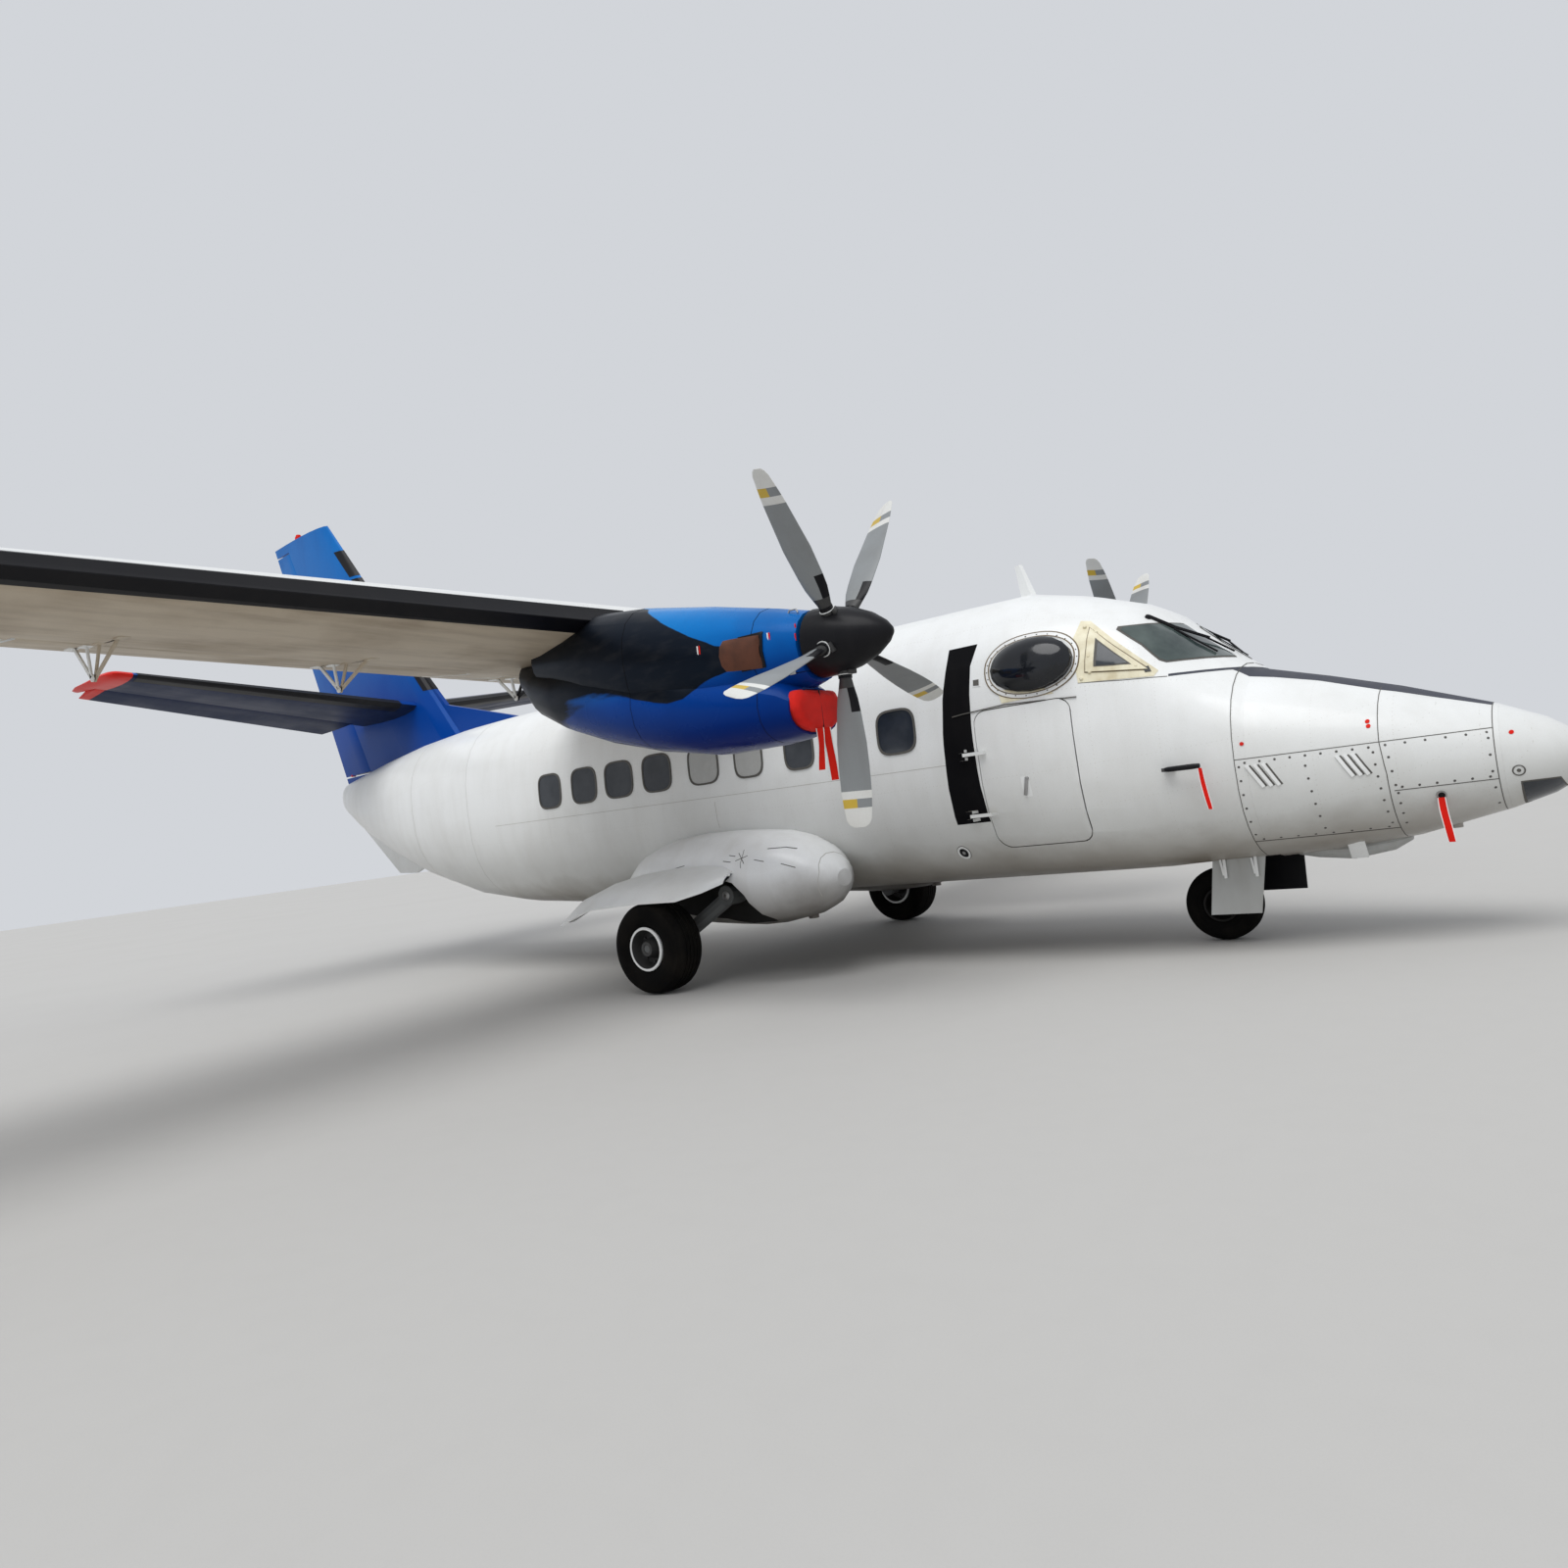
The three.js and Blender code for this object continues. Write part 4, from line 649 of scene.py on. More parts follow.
noseRows = [
    # station and height of the first and the last screw, and how many
    (1.70, 1.222, 1.04, 1.222, 9), (1.735, 1.20, 1.735, 0.76, 6), (1.375, 1.16, 1.345, 0.76, 6),
    (1.02, 1.19, 0.995, 0.75, 7), (0.955, 1.225, 0.46, 1.225, 6), (0.945, 1.15, 0.93, 0.98, 3),
    (0.90, 0.965, 0.47, 0.965, 6), (0.455, 1.19, 0.455, 0.80, 5), (1.70, 0.725, 1.02, 0.725, 8),
    (0.925, 0.93, 0.925, 0.74, 4), (2.20, 1.868, 2.60, 1.897, 8),
]
louvres = [
    # station and height of the first slat's top and foot, and of the last one's
    ((1.691, 1.199), (1.617, 1.066), (1.599, 1.199), (1.531, 1.067)),
    ((1.206, 1.191), (1.139, 1.068), (1.125, 1.191), (1.059, 1.069)),
]
patches = {
    # name: height, look, outline of station and z
    "nose_lamp_edge_": (0.0012, "seam", [(0.09, 0.775), (0.339, 0.775), (0.333, 0.917), (0.145, 0.917)]),
    "nose_lamp_": (0.002, "cabinGlass", [(0.10, 0.785), (0.325, 0.785), (0.325, 0.908), (0.15, 0.908)]),
    "corner_window_sealant_": (0.003, "seal", [(2.632, 2.312), (2.571, 2.300), (2.149, 1.886), (2.174, 1.852),
                                               (2.633, 1.885), (2.668, 2.172)]),
    "corner_window_groove_": (0.0045, "stain", [(2.572, 2.258), (2.198, 1.906), (2.206, 1.896), (2.589, 1.944)]),
    "corner_window_frame_": (0.012, "seal", [(2.566, 2.246), (2.209, 1.903), (2.582, 1.950)]),
    "corner_window_inside_": (0.014, "seam", [(2.520, 2.165), (2.300, 1.948), (2.528, 1.974)]),
    "corner_window_glass_": (0.0155, "cabinGlass", [(2.503, 2.135), (2.322, 1.960), (2.511, 1.980)]),
    "corner_stain_": (0.008, "darkSteel", [(2.188, 1.885), (2.222, 1.885), (2.232, 1.915), (2.205, 1.925)]),
    "bubble_foot_": (0.0035, "seal", [(3.17, 1.835), (2.80, 1.845), (2.86, 1.89), (3.19, 1.93)]),
    "vent_frame_": (0.004, "plainWhite", [(3.322, 1.98), (3.382, 1.986), (3.382, 2.04), (3.322, 2.04)]),
    "vent_hole_": (0.0055, "seam", [(3.33, 1.988), (3.374, 1.9924), (3.374, 2.032), (3.33, 2.032)]),
}
baggageBox = (0.97, 1.61, 0.85, 1.36)  # station and z round the port baggage door, which has its own fasteners


def inDoorBox(s, z, side):
    s0, s1, z0, z1 = baggageBox
    return side == port and s0 < s < s1 and z0 < z < z1


def between(first, last, count):  # evenly spaced points, both ends included
    return [tuple(a + (b - a) * k / (count - 1) for a, b in zip(first, last)) for k in range(count)]


def studs(name, spots, side, radius, height, look):
    master = domed(radius, height)
    hits = [onSkin(s, z, side) for s, z in spots]
    heads = [copied(master, standing(*hit)) for hit in hits if hit[0]]
    bpy.data.objects.remove(master)
    finish(joined(heads), name, look)


slotShift = 0.017  # from each slat to the dark strip beside it, painted shade in the slot
for hand, side in sides:
    spots = [spot for s0, z0, s1, z1, count in noseRows for spot in between((s0, z0), (s1, z1), count)]
    studs("nose_screws_" + hand, [spot for spot in spots if not inDoorBox(*spot, side)], side, 0.0078, 0.002,
          "screw")
    slats = [line for topA, footA, topB, footB in louvres if not inDoorBox(*topA, side)
             for line in zip(between(topA, topB, 3), between(footA, footB, 3))]
    if slats:
        seams("louvre_slats_" + hand, slats, side, 0.020, 0.009, "plainWhite")
        # dark strips beside the slats: painted shade in the slots
        seams("louvre_slot_shade_" + hand, [[(s - slotShift, z) for s, z in line] for line in slats], side, 0.012)
    for name, (height, look, outline) in patches.items():
        finish(polygonOnSkin(outline, side, height), name + hand, look)
print("nose fittings and patches on")


# Black band in the propellers' plane, and the dark strip on top of the nose

bandHeight = 0.0012
stripe = [
    # height, fore edge, aft edge
    (1.03, 3.405, 3.673), (1.40, 3.420, 3.666), (1.70, 3.420, 3.650), (2.00, 3.405, 3.617), (2.14, 3.395, 3.593),
    (2.29, 3.350, 3.579),
]
glare = {
    "top": 1.848, "bottom": 1.25, "tail": ((1.75, 1.842), (2.09, 1.846), 0.016),
    # station, half width
    "rows": [(0.43, 0.12), (0.68, 0.20), (0.99, 0.275), (1.33, 0.31), (1.56, 0.36), (1.75, 0.43), (1.90, 0.53),
             (2.08, 0.72)],
}
for hand, side in sides:
    bands = [polygonOnSkin([(fore0, z0), (aft0, z0), (aft1, z1), (fore1, z1)], side, bandHeight)
             for (z0, fore0, aft0), (z1, fore1, aft1) in zip(stripe, stripe[1:])]
    finish(gathered(bands), "propeller_band_" + hand, "stripe")

bands = []
for (s0, half0), (s1, half1) in zip(glare["rows"], glare["rows"][1:]):
    lean = (half1 - half0) / (s1 - s0)
    bands.append(sliced([
        (at(s0, 0, 0), (1, 0, 0)), (at(s1, 0, 0), (-1, 0, 0)), (at(s0, half0, 0), (lean, 1, 0)),
        (at(s0, -half0, 0), (lean, -1, 0)), ((0, 0, glare["top"]), (0, 0, 1)),
        ((0, 0, glare["bottom"]), (0, 0, -1)),
    ]))
bands += [strip(*glare["tail"], side) for side in (starboard, port)]  # below the windscreen's foot
finish(thicken(gathered(bands), bandHeight), "anti_glare_strip", "antiGlare")
print("bands painted")


# Cabin windows

windowShape = {"low": 1.595, "high": 1.935, "power": 3.6, "points": 32, "frame": 0.016, "pane": 0.003, "rim": 0.007}
windowTable = [
    # fore station, aft station
    (7.81, 8.14), (7.31, 7.66), (6.83, 7.20), (6.35, 6.71), (5.80, 6.15), (5.32, 5.63), (4.80, 5.10), (3.87, 4.21),
]
portAft = 7.75  # on the port side the doors stand where the last window would be
litPanes = (5.2, 6.25)  # stations between which the panes look pale with painted light seen through the cabin


def roundedPatch(centre, half, power, count, hollow=None, side=starboard):  # a flat piece beside the skin
    piece = made(bpy.ops.mesh.primitive_circle_add, vertices=count, radius=1, fill_type="NGON")
    for vertex in piece.data.vertices:
        angle = math.atan2(vertex.co.y, vertex.co.x)
        for axis, part in enumerate((math.cos(angle), math.sin(angle))):
            vertex.co[axis] = half[axis] * math.copysign(abs(part) ** (2 / power), part)
    edit(piece)
    bpy.ops.mesh.select_mode(type="FACE")
    for step in [1 - hollow / min(half)] if hollow else [0.8, 0.7, 0.55]:
        bpy.ops.mesh.inset(thickness=0.0)
        bpy.ops.transform.resize(value=(step, step, 1))
    if hollow:
        bpy.ops.mesh.delete(type="FACE")
    else:
        bpy.ops.mesh.poke()
    leaveEdit()
    piece.location = at(centre[0], side * patchFrom, centre[1])
    piece.rotation_euler.x = math.radians(-90 * side)
    return piece


def layOn(piece, thickness):  # drops it along its own Z onto the skin
    modify(piece, "SHRINKWRAP", wrap_method="PROJECT", use_project_z=True, use_negative_direction=True,
           use_positive_direction=False, target=wholeForm, offset=patchLift)
    settle(piece)
    return thicken(piece, thickness)


def windowPatch(s0, s1, part, side=starboard):  # part is its pane or its rim
    low, high = windowShape["low"], windowShape["high"]
    patch = roundedPatch(((s0 + s1) / 2, (low + high) / 2), ((s1 - s0) / 2, (high - low) / 2), windowShape["power"],
                         windowShape["points"], windowShape["frame"] if part == "rim" else None, side)
    return layOn(patch, windowShape[part])


def litPaneFace(face):
    return litPanes[0] < noseX - face.center.x < litPanes[1]


for part, name, look, slotName in (("pane", "cabin_windows_", "cabinGlass", "window"),
                                   ("rim", "cabin_window_rims_", "seam", "skin_white")):
    right = joined([windowPatch(s0, s1, part) for s0, s1 in windowTable])
    left = mirrored(right)
    cut(left, at(portAft, 0, 0), (-1, 0, 0))
    for hand, piece in (("right", right), ("left", left)):
        finish(piece, name + hand, look)
        if part == "pane":
            # these panes are painted pale: painted light seen through the cabin
            paintWhere(piece, "paneLight", litPaneFace)
    finish(windowPatch(8.17, 8.51, part, port), "passenger_door_pane" + ("_rim" if part == "rim" else ""), look,
           "passenger_door")
print("cabin windows in")


# Windscreen and wipers

screen = {
    # across and up, seen from the front
    "inner": 0.17, "outer": 0.755, "low": 1.943, "high": 2.218, "aft": 2.46, "seal": 0.010, "corner": 0.02,
    "wiper": [
        # station, y, z, with the foot first
        [(2.277, -0.524, 2.292), (2.137, -0.448, 2.192), (1.98, -0.27, 2.10), (1.851, -0.10, 1.985)],
        [(2.262, -0.500, 2.292), (2.120, -0.420, 2.190), (1.96, -0.24, 2.095)],
    ],
    "blade": ((2.127, -0.442, 2.178), (1.885, -0.367, 1.978)), "foot": (2.27, -0.512, 2.262),
}
for grow, height, look, slotName, name in ((screen["seal"], 0.003, "seam", "skin_white", "windscreen_seal_"),
                                           (0, 0.0045, "screenGlass", "window", "windscreen_")):
    y0, y1 = screen["inner"] - grow, screen["outer"] + grow
    z0, z1 = screen["low"] - grow, screen["high"] + grow
    cornerCut = screen["corner"] / 2
    planes = [(at(screen["aft"], 0, 0), (-1, 0, 0)), ((0, -y0, 0), (0, 1, 0)), ((0, -y1, 0), (0, -1, 0)),
              ((0, 0, z0), (0, 0, -1)), ((0, 0, z1), (0, 0, 1))]
    planes += [((0, -(y + dy * cornerCut), z - dz * cornerCut), (0, dy, dz))
               for y, dy in ((y0, 1), (y1, -1)) for z, dz in ((z0, -1), (z1, 1))]
    finishBoth(thicken(sliced(planes), height), name, look)

wiper = [tubeAlong([at(*spot) for spot in line], 0.007) for line in screen["wiper"]]
wiper.append(flatBar(at(*screen["blade"][0]), at(*screen["blade"][1]), 0.016, 0.012))
wiper.append(domed(0.022, 0.035, 12))
wiper[-1].matrix_world = standing(at(*screen["foot"]), (0.35, -0.25, 0.9))
finishBoth(joined(wiper), "wiper_", "satinBlack")


# Fasteners of the corner windows, and the bubble's ring

cornerFasteners = [(2.524, 2.21), (2.555, 1.945), (2.275, 1.936), (2.60, 2.26), (2.61, 1.91), (2.56, 2.05)]
bubble = {
    "centre": (2.95, 2.065), "half": (0.30, 0.19), "rivets": 26, "rivetsOut": 0.0165,
    # name: how far it reaches past the pane, its width, thickness and look
    "rings": {"ring": (0.030, 0.030, 0.004, "plainWhite"), "outer_edge": (0.035, 0.006, 0.005, "stain"),
              "inner_edge": (0.006, 0.006, 0.005, "stain")},
}
for hand, side in sides:
    studs("corner_fasteners_" + hand, cornerFasteners, side, 0.013, 0.016, "seal")
    angles = [2 * math.pi * k / bubble["rivets"] for k in range(bubble["rivets"])]
    studs("bubble_rivets_" + hand, [
        [c + (h + bubble["rivetsOut"]) * turn(angle) for c, h, turn in zip(bubble["centre"], bubble["half"],
                                                                           (math.cos, math.sin))]
        for angle in angles], side, 0.006, 0.006, "screw")
for name, (reach, width, thick, look) in bubble["rings"].items():
    ring = roundedPatch(bubble["centre"], [half + reach for half in bubble["half"]], 2.2, 48, width)
    finishBoth(layOn(ring, thick), "bubble_%s_" % name, look)
print("cockpit windows in")


# Small round fittings

discs = {
    # name: centre, radius, look, thickness, width of a ring
    "nose_dot_0": ((1.704, 1.342), 0.012, "red", 0.003, None),
    "nose_dot_1": ((1.032, 1.349), 0.012, "red", 0.003, None),
    "nose_dot_2": ((1.036, 1.378), 0.012, "red", 0.003, None),
    "nose_dot_3": ((0.345, 1.207), 0.012, "red", 0.003, None),
    "nose_port_ring": ((0.333, 0.982), 0.032, "seam", 0.003, 0.006),
    "nose_port_hole": ((0.333, 0.982), 0.010, "seam", 0.003, None),
    "nose_hole_ring": ((0.719, 0.89), 0.026, "steel", 0.006, 0.008),
    "nose_hole": ((0.719, 0.89), 0.019, "satinBlack", 0.003, None),
    "belly_port_rim": ((3.721, 0.819), 0.052, "seam", 0.002, 0.004),
    "belly_port_ring": ((3.721, 0.819), 0.048, "plainWhite", 0.005, 0.014),
    "belly_port": ((3.721, 0.819), 0.034, "satinBlack", 0.003, None),
    "belly_port_pin": ((3.721, 0.819), 0.012, "steel", 0.006, None),
}
for name, (centre, radius, look, thick, hollow) in discs.items():
    patch = layOn(roundedPatch(centre, (radius, radius), 2.0, 20, hollow), thick)
    finishBoth(patch, name + "_", look, toPort=not inDoorBox(*centre, port))
print("round fittings on")


# De-icing boots

bootHeight = 0.003
boots = {
    # station of the leading edge at the middle and at the half span, the boot's width at both, and where it ends
    "wing": ("wing_", (5.22, 5.97), 9.74, (0.06, 0.135), (2.262, 9.50)),
    "tail": ("tailplane_", (11.33, 11.68), 3.35, (0.17, 0.13), (0.30, 3.10)),
}
finBoot = {"rear": at(13.17, 0, 5.83), "slope": 0.77, "spans": ((3.30, 4.98), (5.02, 5.42))}
for kind, (nodeName, edges, half, widths, (inner, outer)) in boots.items():
    for hand, side in sides:
        rear = [edge + width for edge, width in zip(edges, widths)]
        back = Vector((-1, -side * (rear[1] - rear[0]) / half, 0)).normalized()
        boot = sliced([(at(rear[0], 0, 0), back), ((0, side * inner, 0), (0, -side, 0)),
                       ((0, side * outer, 0), (0, side, 0))], skin[nodeName + hand])
        finish(thicken(boot, bootHeight), "%s_boot_%s" % (kind, hand), "boot")
for k, (low, high) in enumerate(finBoot["spans"]):
    boot = sliced([(finBoot["rear"], Vector((-1, 0, -finBoot["slope"])).normalized()),
                   ((0, 0, low), (0, 0, -1)), ((0, 0, high), (0, 0, 1))], skin["fin"])
    finish(thicken(boot, bootHeight), "fin_boot_%d" % k, "boot")
print("boots on")


# Propeller blades

bladeShape = {
    "radius": 1.15, "sides": 18, "cuffTo": 0.26, "bootTo": 0.39, "bootFrom": 0.0204,
    "rows": [
        # share of the radius, chord, thickness, pitch in degrees
        (0.06, 0.070, 0.070, 98), (0.17, 0.074, 0.070, 98), (0.20, 0.080, 0.060, 97), (0.26, 0.122, 0.045, 95.5),
        (0.32, 0.160, 0.034, 94), (0.39, 0.180, 0.030, 91.5), (0.55, 0.210, 0.022, 86), (0.68, 0.208, 0.018, 80),
        (0.806, 0.200, 0.014, 76), (0.848, 0.192, 0.013, 74.5), (0.896, 0.180, 0.011, 72.5),
        (0.96, 0.158, 0.008, 70), (0.985, 0.125, 0.007, 69), (0.999, 0.07, 0.004, 69),
    ],
    "bands": ((0.806, 0.848, "bladeWhite"), (0.848, 0.896, "bladeYellow"), (0.896, 1.1, "bladeWhite")),
    "looks": ("bladeGrey", "bladeWhite", "bladeYellow", "boot", "darkSteel"),
    # radius, foot, top and look of the clamp's rings
    "clamp": ((0.045, 0.175, 0.212, "darkSteel"), (0.049, 0.212, 0.217, "plainWhite"),
              (0.043, 0.217, 0.238, "satinBlack")),
}
propeller = {
    "station": 3.49, "y": 2.41, "z": 2.28, "tilt": 2.3, "count": 5,
    "phase": {"right": -36.2, "left": -35.0},
}


def bladeLook(x, share):
    for low, high, name in bladeShape["bands"]:
        if low < share < high and not (name == "bladeYellow" and x > 0):
            return name
    if share < bladeShape["cuffTo"]:
        return "darkSteel"
    return "boot" if share < bladeShape["bootTo"] and x > bladeShape["bootFrom"] else "bladeGrey"


def oneBlade():
    rows, radius = bladeShape["rows"], bladeShape["radius"]
    blade = made(bpy.ops.mesh.primitive_circle_add, vertices=bladeShape["sides"], radius=0.5, fill_type="NGON")
    edit(blade)
    bpy.ops.transform.resize(value=(rows[0][1], rows[0][2], 1))
    bpy.ops.transform.translate(value=(0, 0, rows[0][0] * radius))
    for before, row in zip(rows, rows[1:]):
        bpy.ops.mesh.extrude_region_move(TRANSFORM_OT_translate={"value": (0, 0, (row[0] - before[0]) * radius)})
        bpy.ops.transform.resize(value=(row[1] / before[1], row[2] / before[2], 1),
                                 center_override=(0, 0, row[0] * radius))
    leaveEdit()
    for name in bladeShape["looks"]:
        blade.data.materials.append(looks[name])
    for face in blade.data.polygons:
        face.material_index = bladeShape["looks"].index(bladeLook(face.center.x, face.center.z / radius))
    for vertex in blade.data.vertices:  # the twist
        share = vertex.co.z / radius
        for low, high in zip(rows, rows[1:]):
            if low[0] - 1e-4 <= share <= high[0] + 1e-4:
                t = (share - low[0]) / (high[0] - low[0])
                vertex.co.rotate(Matrix.Rotation(math.radians(low[3] + t * (high[3] - low[3])), 3, "Z"))
                break
    blade.data.update()
    edit(blade)
    leaveEdit(outward=True)
    return blade


def bladeRoot():  # the clamp, its light ring and the counterweight
    pieces = []
    for radius, low, high, look in bladeShape["clamp"]:
        pieces.append(made(bpy.ops.mesh.primitive_cylinder_add, vertices=20, radius=radius, depth=high - low,
                           location=(0, 0, (low + high) / 2)))
        pieces[-1].data.materials.append(looks[look])
    pieces.append(flatBar((-0.028, 0.040, 0.20), (0.028, 0.062, 0.20), 0.030, 0.024, across=(0, 0, 1)))
    pieces[-1].data.materials.append(looks["darkSteel"])
    return joined(pieces)


blade = joined([oneBlade(), bladeRoot()])
tilt = math.radians(propeller["tilt"])
thrust = Vector((math.cos(tilt), 0, -math.sin(tilt)))
upright = Vector((math.sin(tilt), 0, math.cos(tilt)))
for hand, side in sides:
    hub = at(propeller["station"], side * propeller["y"], propeller["z"])
    copies = []
    for k in range(propeller["count"]):
        angle = math.radians(propeller["phase"][hand] + 360 * k / propeller["count"])
        span = Vector((0, 1, 0)) * math.sin(angle) + upright * math.cos(angle)
        turn = thrust.cross(span)
        axes = Matrix((turn, span.cross(turn), span)).transposed()
        copies.append(copied(blade, Matrix.Translation(hub) @ axes.to_4x4()))
    whole = finish(joined(copies), "propeller_blades_" + hand, None, "prop_" + hand, 40)
    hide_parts("blades_" + hand)
bpy.data.objects.remove(blade)
print("propellers made")


# Tyres and rims

def latheOf(profile, steps):  # profile of y and radius, turned about Y
    piece = made(bpy.ops.mesh.primitive_plane_add, size=0.01)
    edit(piece)
    bpy.ops.mesh.merge(type="CENTER")
    bpy.ops.transform.translate(value=(0, profile[0][0], profile[0][1]))
    for (y0, r0), (y1, r1) in zip(profile, profile[1:]):
        bpy.ops.mesh.extrude_region_move(TRANSFORM_OT_translate={"value": (0, y1 - y0, r1 - r0)})
    bpy.ops.mesh.select_all(action="SELECT")
    bpy.ops.mesh.spin(steps=steps, angle=2 * math.pi, center=(0, 0, 0), axis=(0, 1, 0))
    bpy.ops.mesh.select_all(action="SELECT")
    bpy.ops.mesh.remove_doubles(threshold=0.00005)
    leaveEdit(outward=True)
    return piece


def tyreProfile(radius, half, rim):
    groove, depth = 0.007, 0.008
    tread = []
    for spot in (-0.6, -0.2, 0.2, 0.6):
        y, drop = spot * half * 0.62, 0.004 * spot * spot
        tread += [(y - groove, radius - drop), (y - groove * 0.6, radius - depth - drop),
                  (y + groove * 0.6, radius - depth - drop), (y + groove, radius - drop)]
    outside = [(half * 0.70, radius - 0.008), (half * 0.88, radius - 0.026), (half * 0.97, radius - 0.055),
               (half, radius - 0.09), (half * 0.985, rim + 0.075), (half * 0.93, rim + 0.035),
               (half * 0.86, rim + 0.016), (half * 0.74, rim + 0.001)]
    inside = [(-y, r) for y, r in outside]
    return inside[::-1] + tread + outside + [(-outside[-1][0], rim + 0.001)]


def rimProfile(half, rim):
    shares = [(0.86, 0.26), (0.86, 0.34), (0.60, 0.40), (0.34, 0.52), (0.30, 0.80), (0.50, 0.87), (0.86, 0.89),
              (0.94, 0.92), (0.95, 1.02), (0.90, 1.05), (0.72, 0.998)]
    right = [(half * y, rim * r) for y, r in shares]
    bore = [(half * 0.86, 0.031)]
    return bore + right + [(-y, r) for y, r in right[::-1]] + [(-bore[0][0], bore[0][1])] + bore


wheels = {
    # name: centre, tyre radius, width, rim radius, body
    "main_right": (at(5.97, -1.825, 0.36), 0.36, 0.31, 0.165, "main_wheel_right"),
    "main_left": (at(5.97, 1.825, 0.36), 0.36, 0.31, 0.165, "main_wheel_left"),
    "nose": (at(2.17, 0, 0.255), 0.255, 0.215, 0.115, "nose_wheel"),
}
for name, (centre, radius, width, rim, body) in wheels.items():
    tyre = latheOf(tyreProfile(radius, width / 2, rim), 64)
    tyre.location = centre
    finish(tyre, name + "_tyre_treaded", "rubber", body, 30)
    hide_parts(name + "_tyre")
    parts = [latheOf(rimProfile(width / 2, rim), 48)]
    for k in range(8):
        angle = k * math.pi / 4
        for side in (-1, 1):  # bolts
            parts.append(made(bpy.ops.mesh.primitive_cylinder_add, vertices=6, radius=rim * 0.06, depth=0.02,
                              rotation=(math.radians(90), 0, 0),
                              location=(rim * 0.66 * math.cos(angle), side * width * 0.185,
                                        rim * 0.66 * math.sin(angle))))
    hub = joined(parts)
    hub.location = centre
    # the nose rim takes the near-black bay paint: painted shade
    finish(hub, name + "_wheel_rim", "bay" if name == "nose" else "darkSteel", body, 30)
    if name != "nose":  # a thin white ring
        paintWhere(hub, "plainWhite", lambda face: (face.center.xz - centre.xz).length > rim * 0.93)
    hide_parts(name + "_rim")
print("wheels made")


# Nacelle lines, marks and the exhausts' surrounds

nacelleLines = {
    "seams": [[(3.97, 2.90), (3.97, 1.66)], [(5.02, 2.90), (5.02, 1.66)], [(3.66, 2.115), (4.16, 2.10)]],
    # station, z and length
    "marks": {"red": [(4.357, 2.359, 0.075), (3.841, 2.353, 0.055), (3.675, 2.322, 0.045), (3.682, 2.384, 0.045)],
              "plainWhite": [(4.372, 2.359, 0.075), (3.665, 2.322, 0.045), (3.852, 2.353, 0.055)]},
    # fore and aft station, foot and top, height, look
    # the black border round the exhaust flange is painted shadow
    "shadowBorder": (3.886, 4.06, 2.176, 2.392, 0.010, "satinBlack"),
    "flange": (3.904, 4.05, 2.196, 2.372, 0.016, "copper"),
    "flankOut": 0.8, "handle": (3.741, 0.122, 2.986), "latches": [(3.75, 2.115), (3.92, 2.112), (4.09, 2.105)],
}
for hand, side in sides:
    shell = skin["nacelle_" + hand]
    tree = treeOf(shell)
    engineAt, flankOut = side * propeller["y"], nacelleLines["flankOut"]
    seams("nacelle_seams_" + hand, nacelleLines["seams"], 0, 0.004, 0.0008, "stripe", shell)
    for key in ("shadowBorder", "flange"):
        s0, s1, z0, z1, height, look = nacelleLines[key]
        plate = sliced([(at(s0, 0, 0), (1, 0, 0)), (at(s1, 0, 0), (-1, 0, 0)), ((0, 0, z0), (0, 0, -1)),
                        ((0, 0, z1), (0, 0, 1))], shell)
        finish(thicken(plate, height), "exhaust_%s_%s" % (key, hand), look)
    for look, rows in nacelleLines["marks"].items():
        tags = []
        for s, z, length in rows:
            for flank in (-1, 1):
                spot = castInward(tree, s, engineAt + flank * flankOut, z, flank)[0]
                if spot:
                    end = Vector((0, 0, length / 2))
                    tags.append(flatBar(spot - end, spot + end, 0.004, 0.009))
        finish(joined(tags), "nacelle_marks_%s_%s" % (look, hand), look)
    grips = []
    for flank in (-1, 1):
        s, out, z = nacelleLines["handle"]
        spot = tree.ray_cast(at(s, engineAt + flank * out, z), Vector((0, 0, -1)))[0]
        if spot:
            grips.append(tubeAlong([spot + Vector((x, 0, rise)) for x, rise in
                                    ((-0.04, -0.002), (-0.025, 0.022), (0.025, 0.022), (0.04, -0.002))], 0.006))
        for s, z in nacelleLines["latches"]:
            spot, half = castInward(tree, s, engineAt + flank * flankOut, z, flank)[0], Vector((0.022, 0, 0))
            grips.append(flatBar(spot - half, spot + half, 0.006, 0.018))
    finish(joined(grips), "nacelle_latches_" + hand, "steel")
print("nacelles marked")


# Flap brackets: open struts in place of the plain plates

# the outer flap struts take the cream of dirt and painted shade under the wing
brackets = [(flap + hand, wing.replace("*", hand), look, side, ys)
            for flap, wing, look, ys in (("flap_outer_", "wing_*", "cream", (3.656, 5.244)),
                                         ("flap_inner_", "wing_centre", "satinBlack", (1.28, 2.07)))
            for hand, side in sides]
strut = {
    # a face within "plate" of a bracket's y belongs to a plain plate, and a ray from "probe" finds the skin
    "plate": 0.03, "probe": (0.05, 0.5), "out": 0.010, "into": 0.03, "bar": (0.012, 0.026),
    "sunk": 0.003, "soleHalf": 0.049, "sole": (0.0595, 0.010), "eye": (0.024, 0.012, 14), "eyeOut": 0.004,
}
for flapName, wingName, look, side, ys in brackets:
    for name in (wingName, flapName):
        vertices = skin[name].data.vertices
        dropFaces(skin[name], lambda face: any(
            all(abs(vertices[i].co.y * side - y) < strut["plate"] for i in face.vertices) for y in ys))
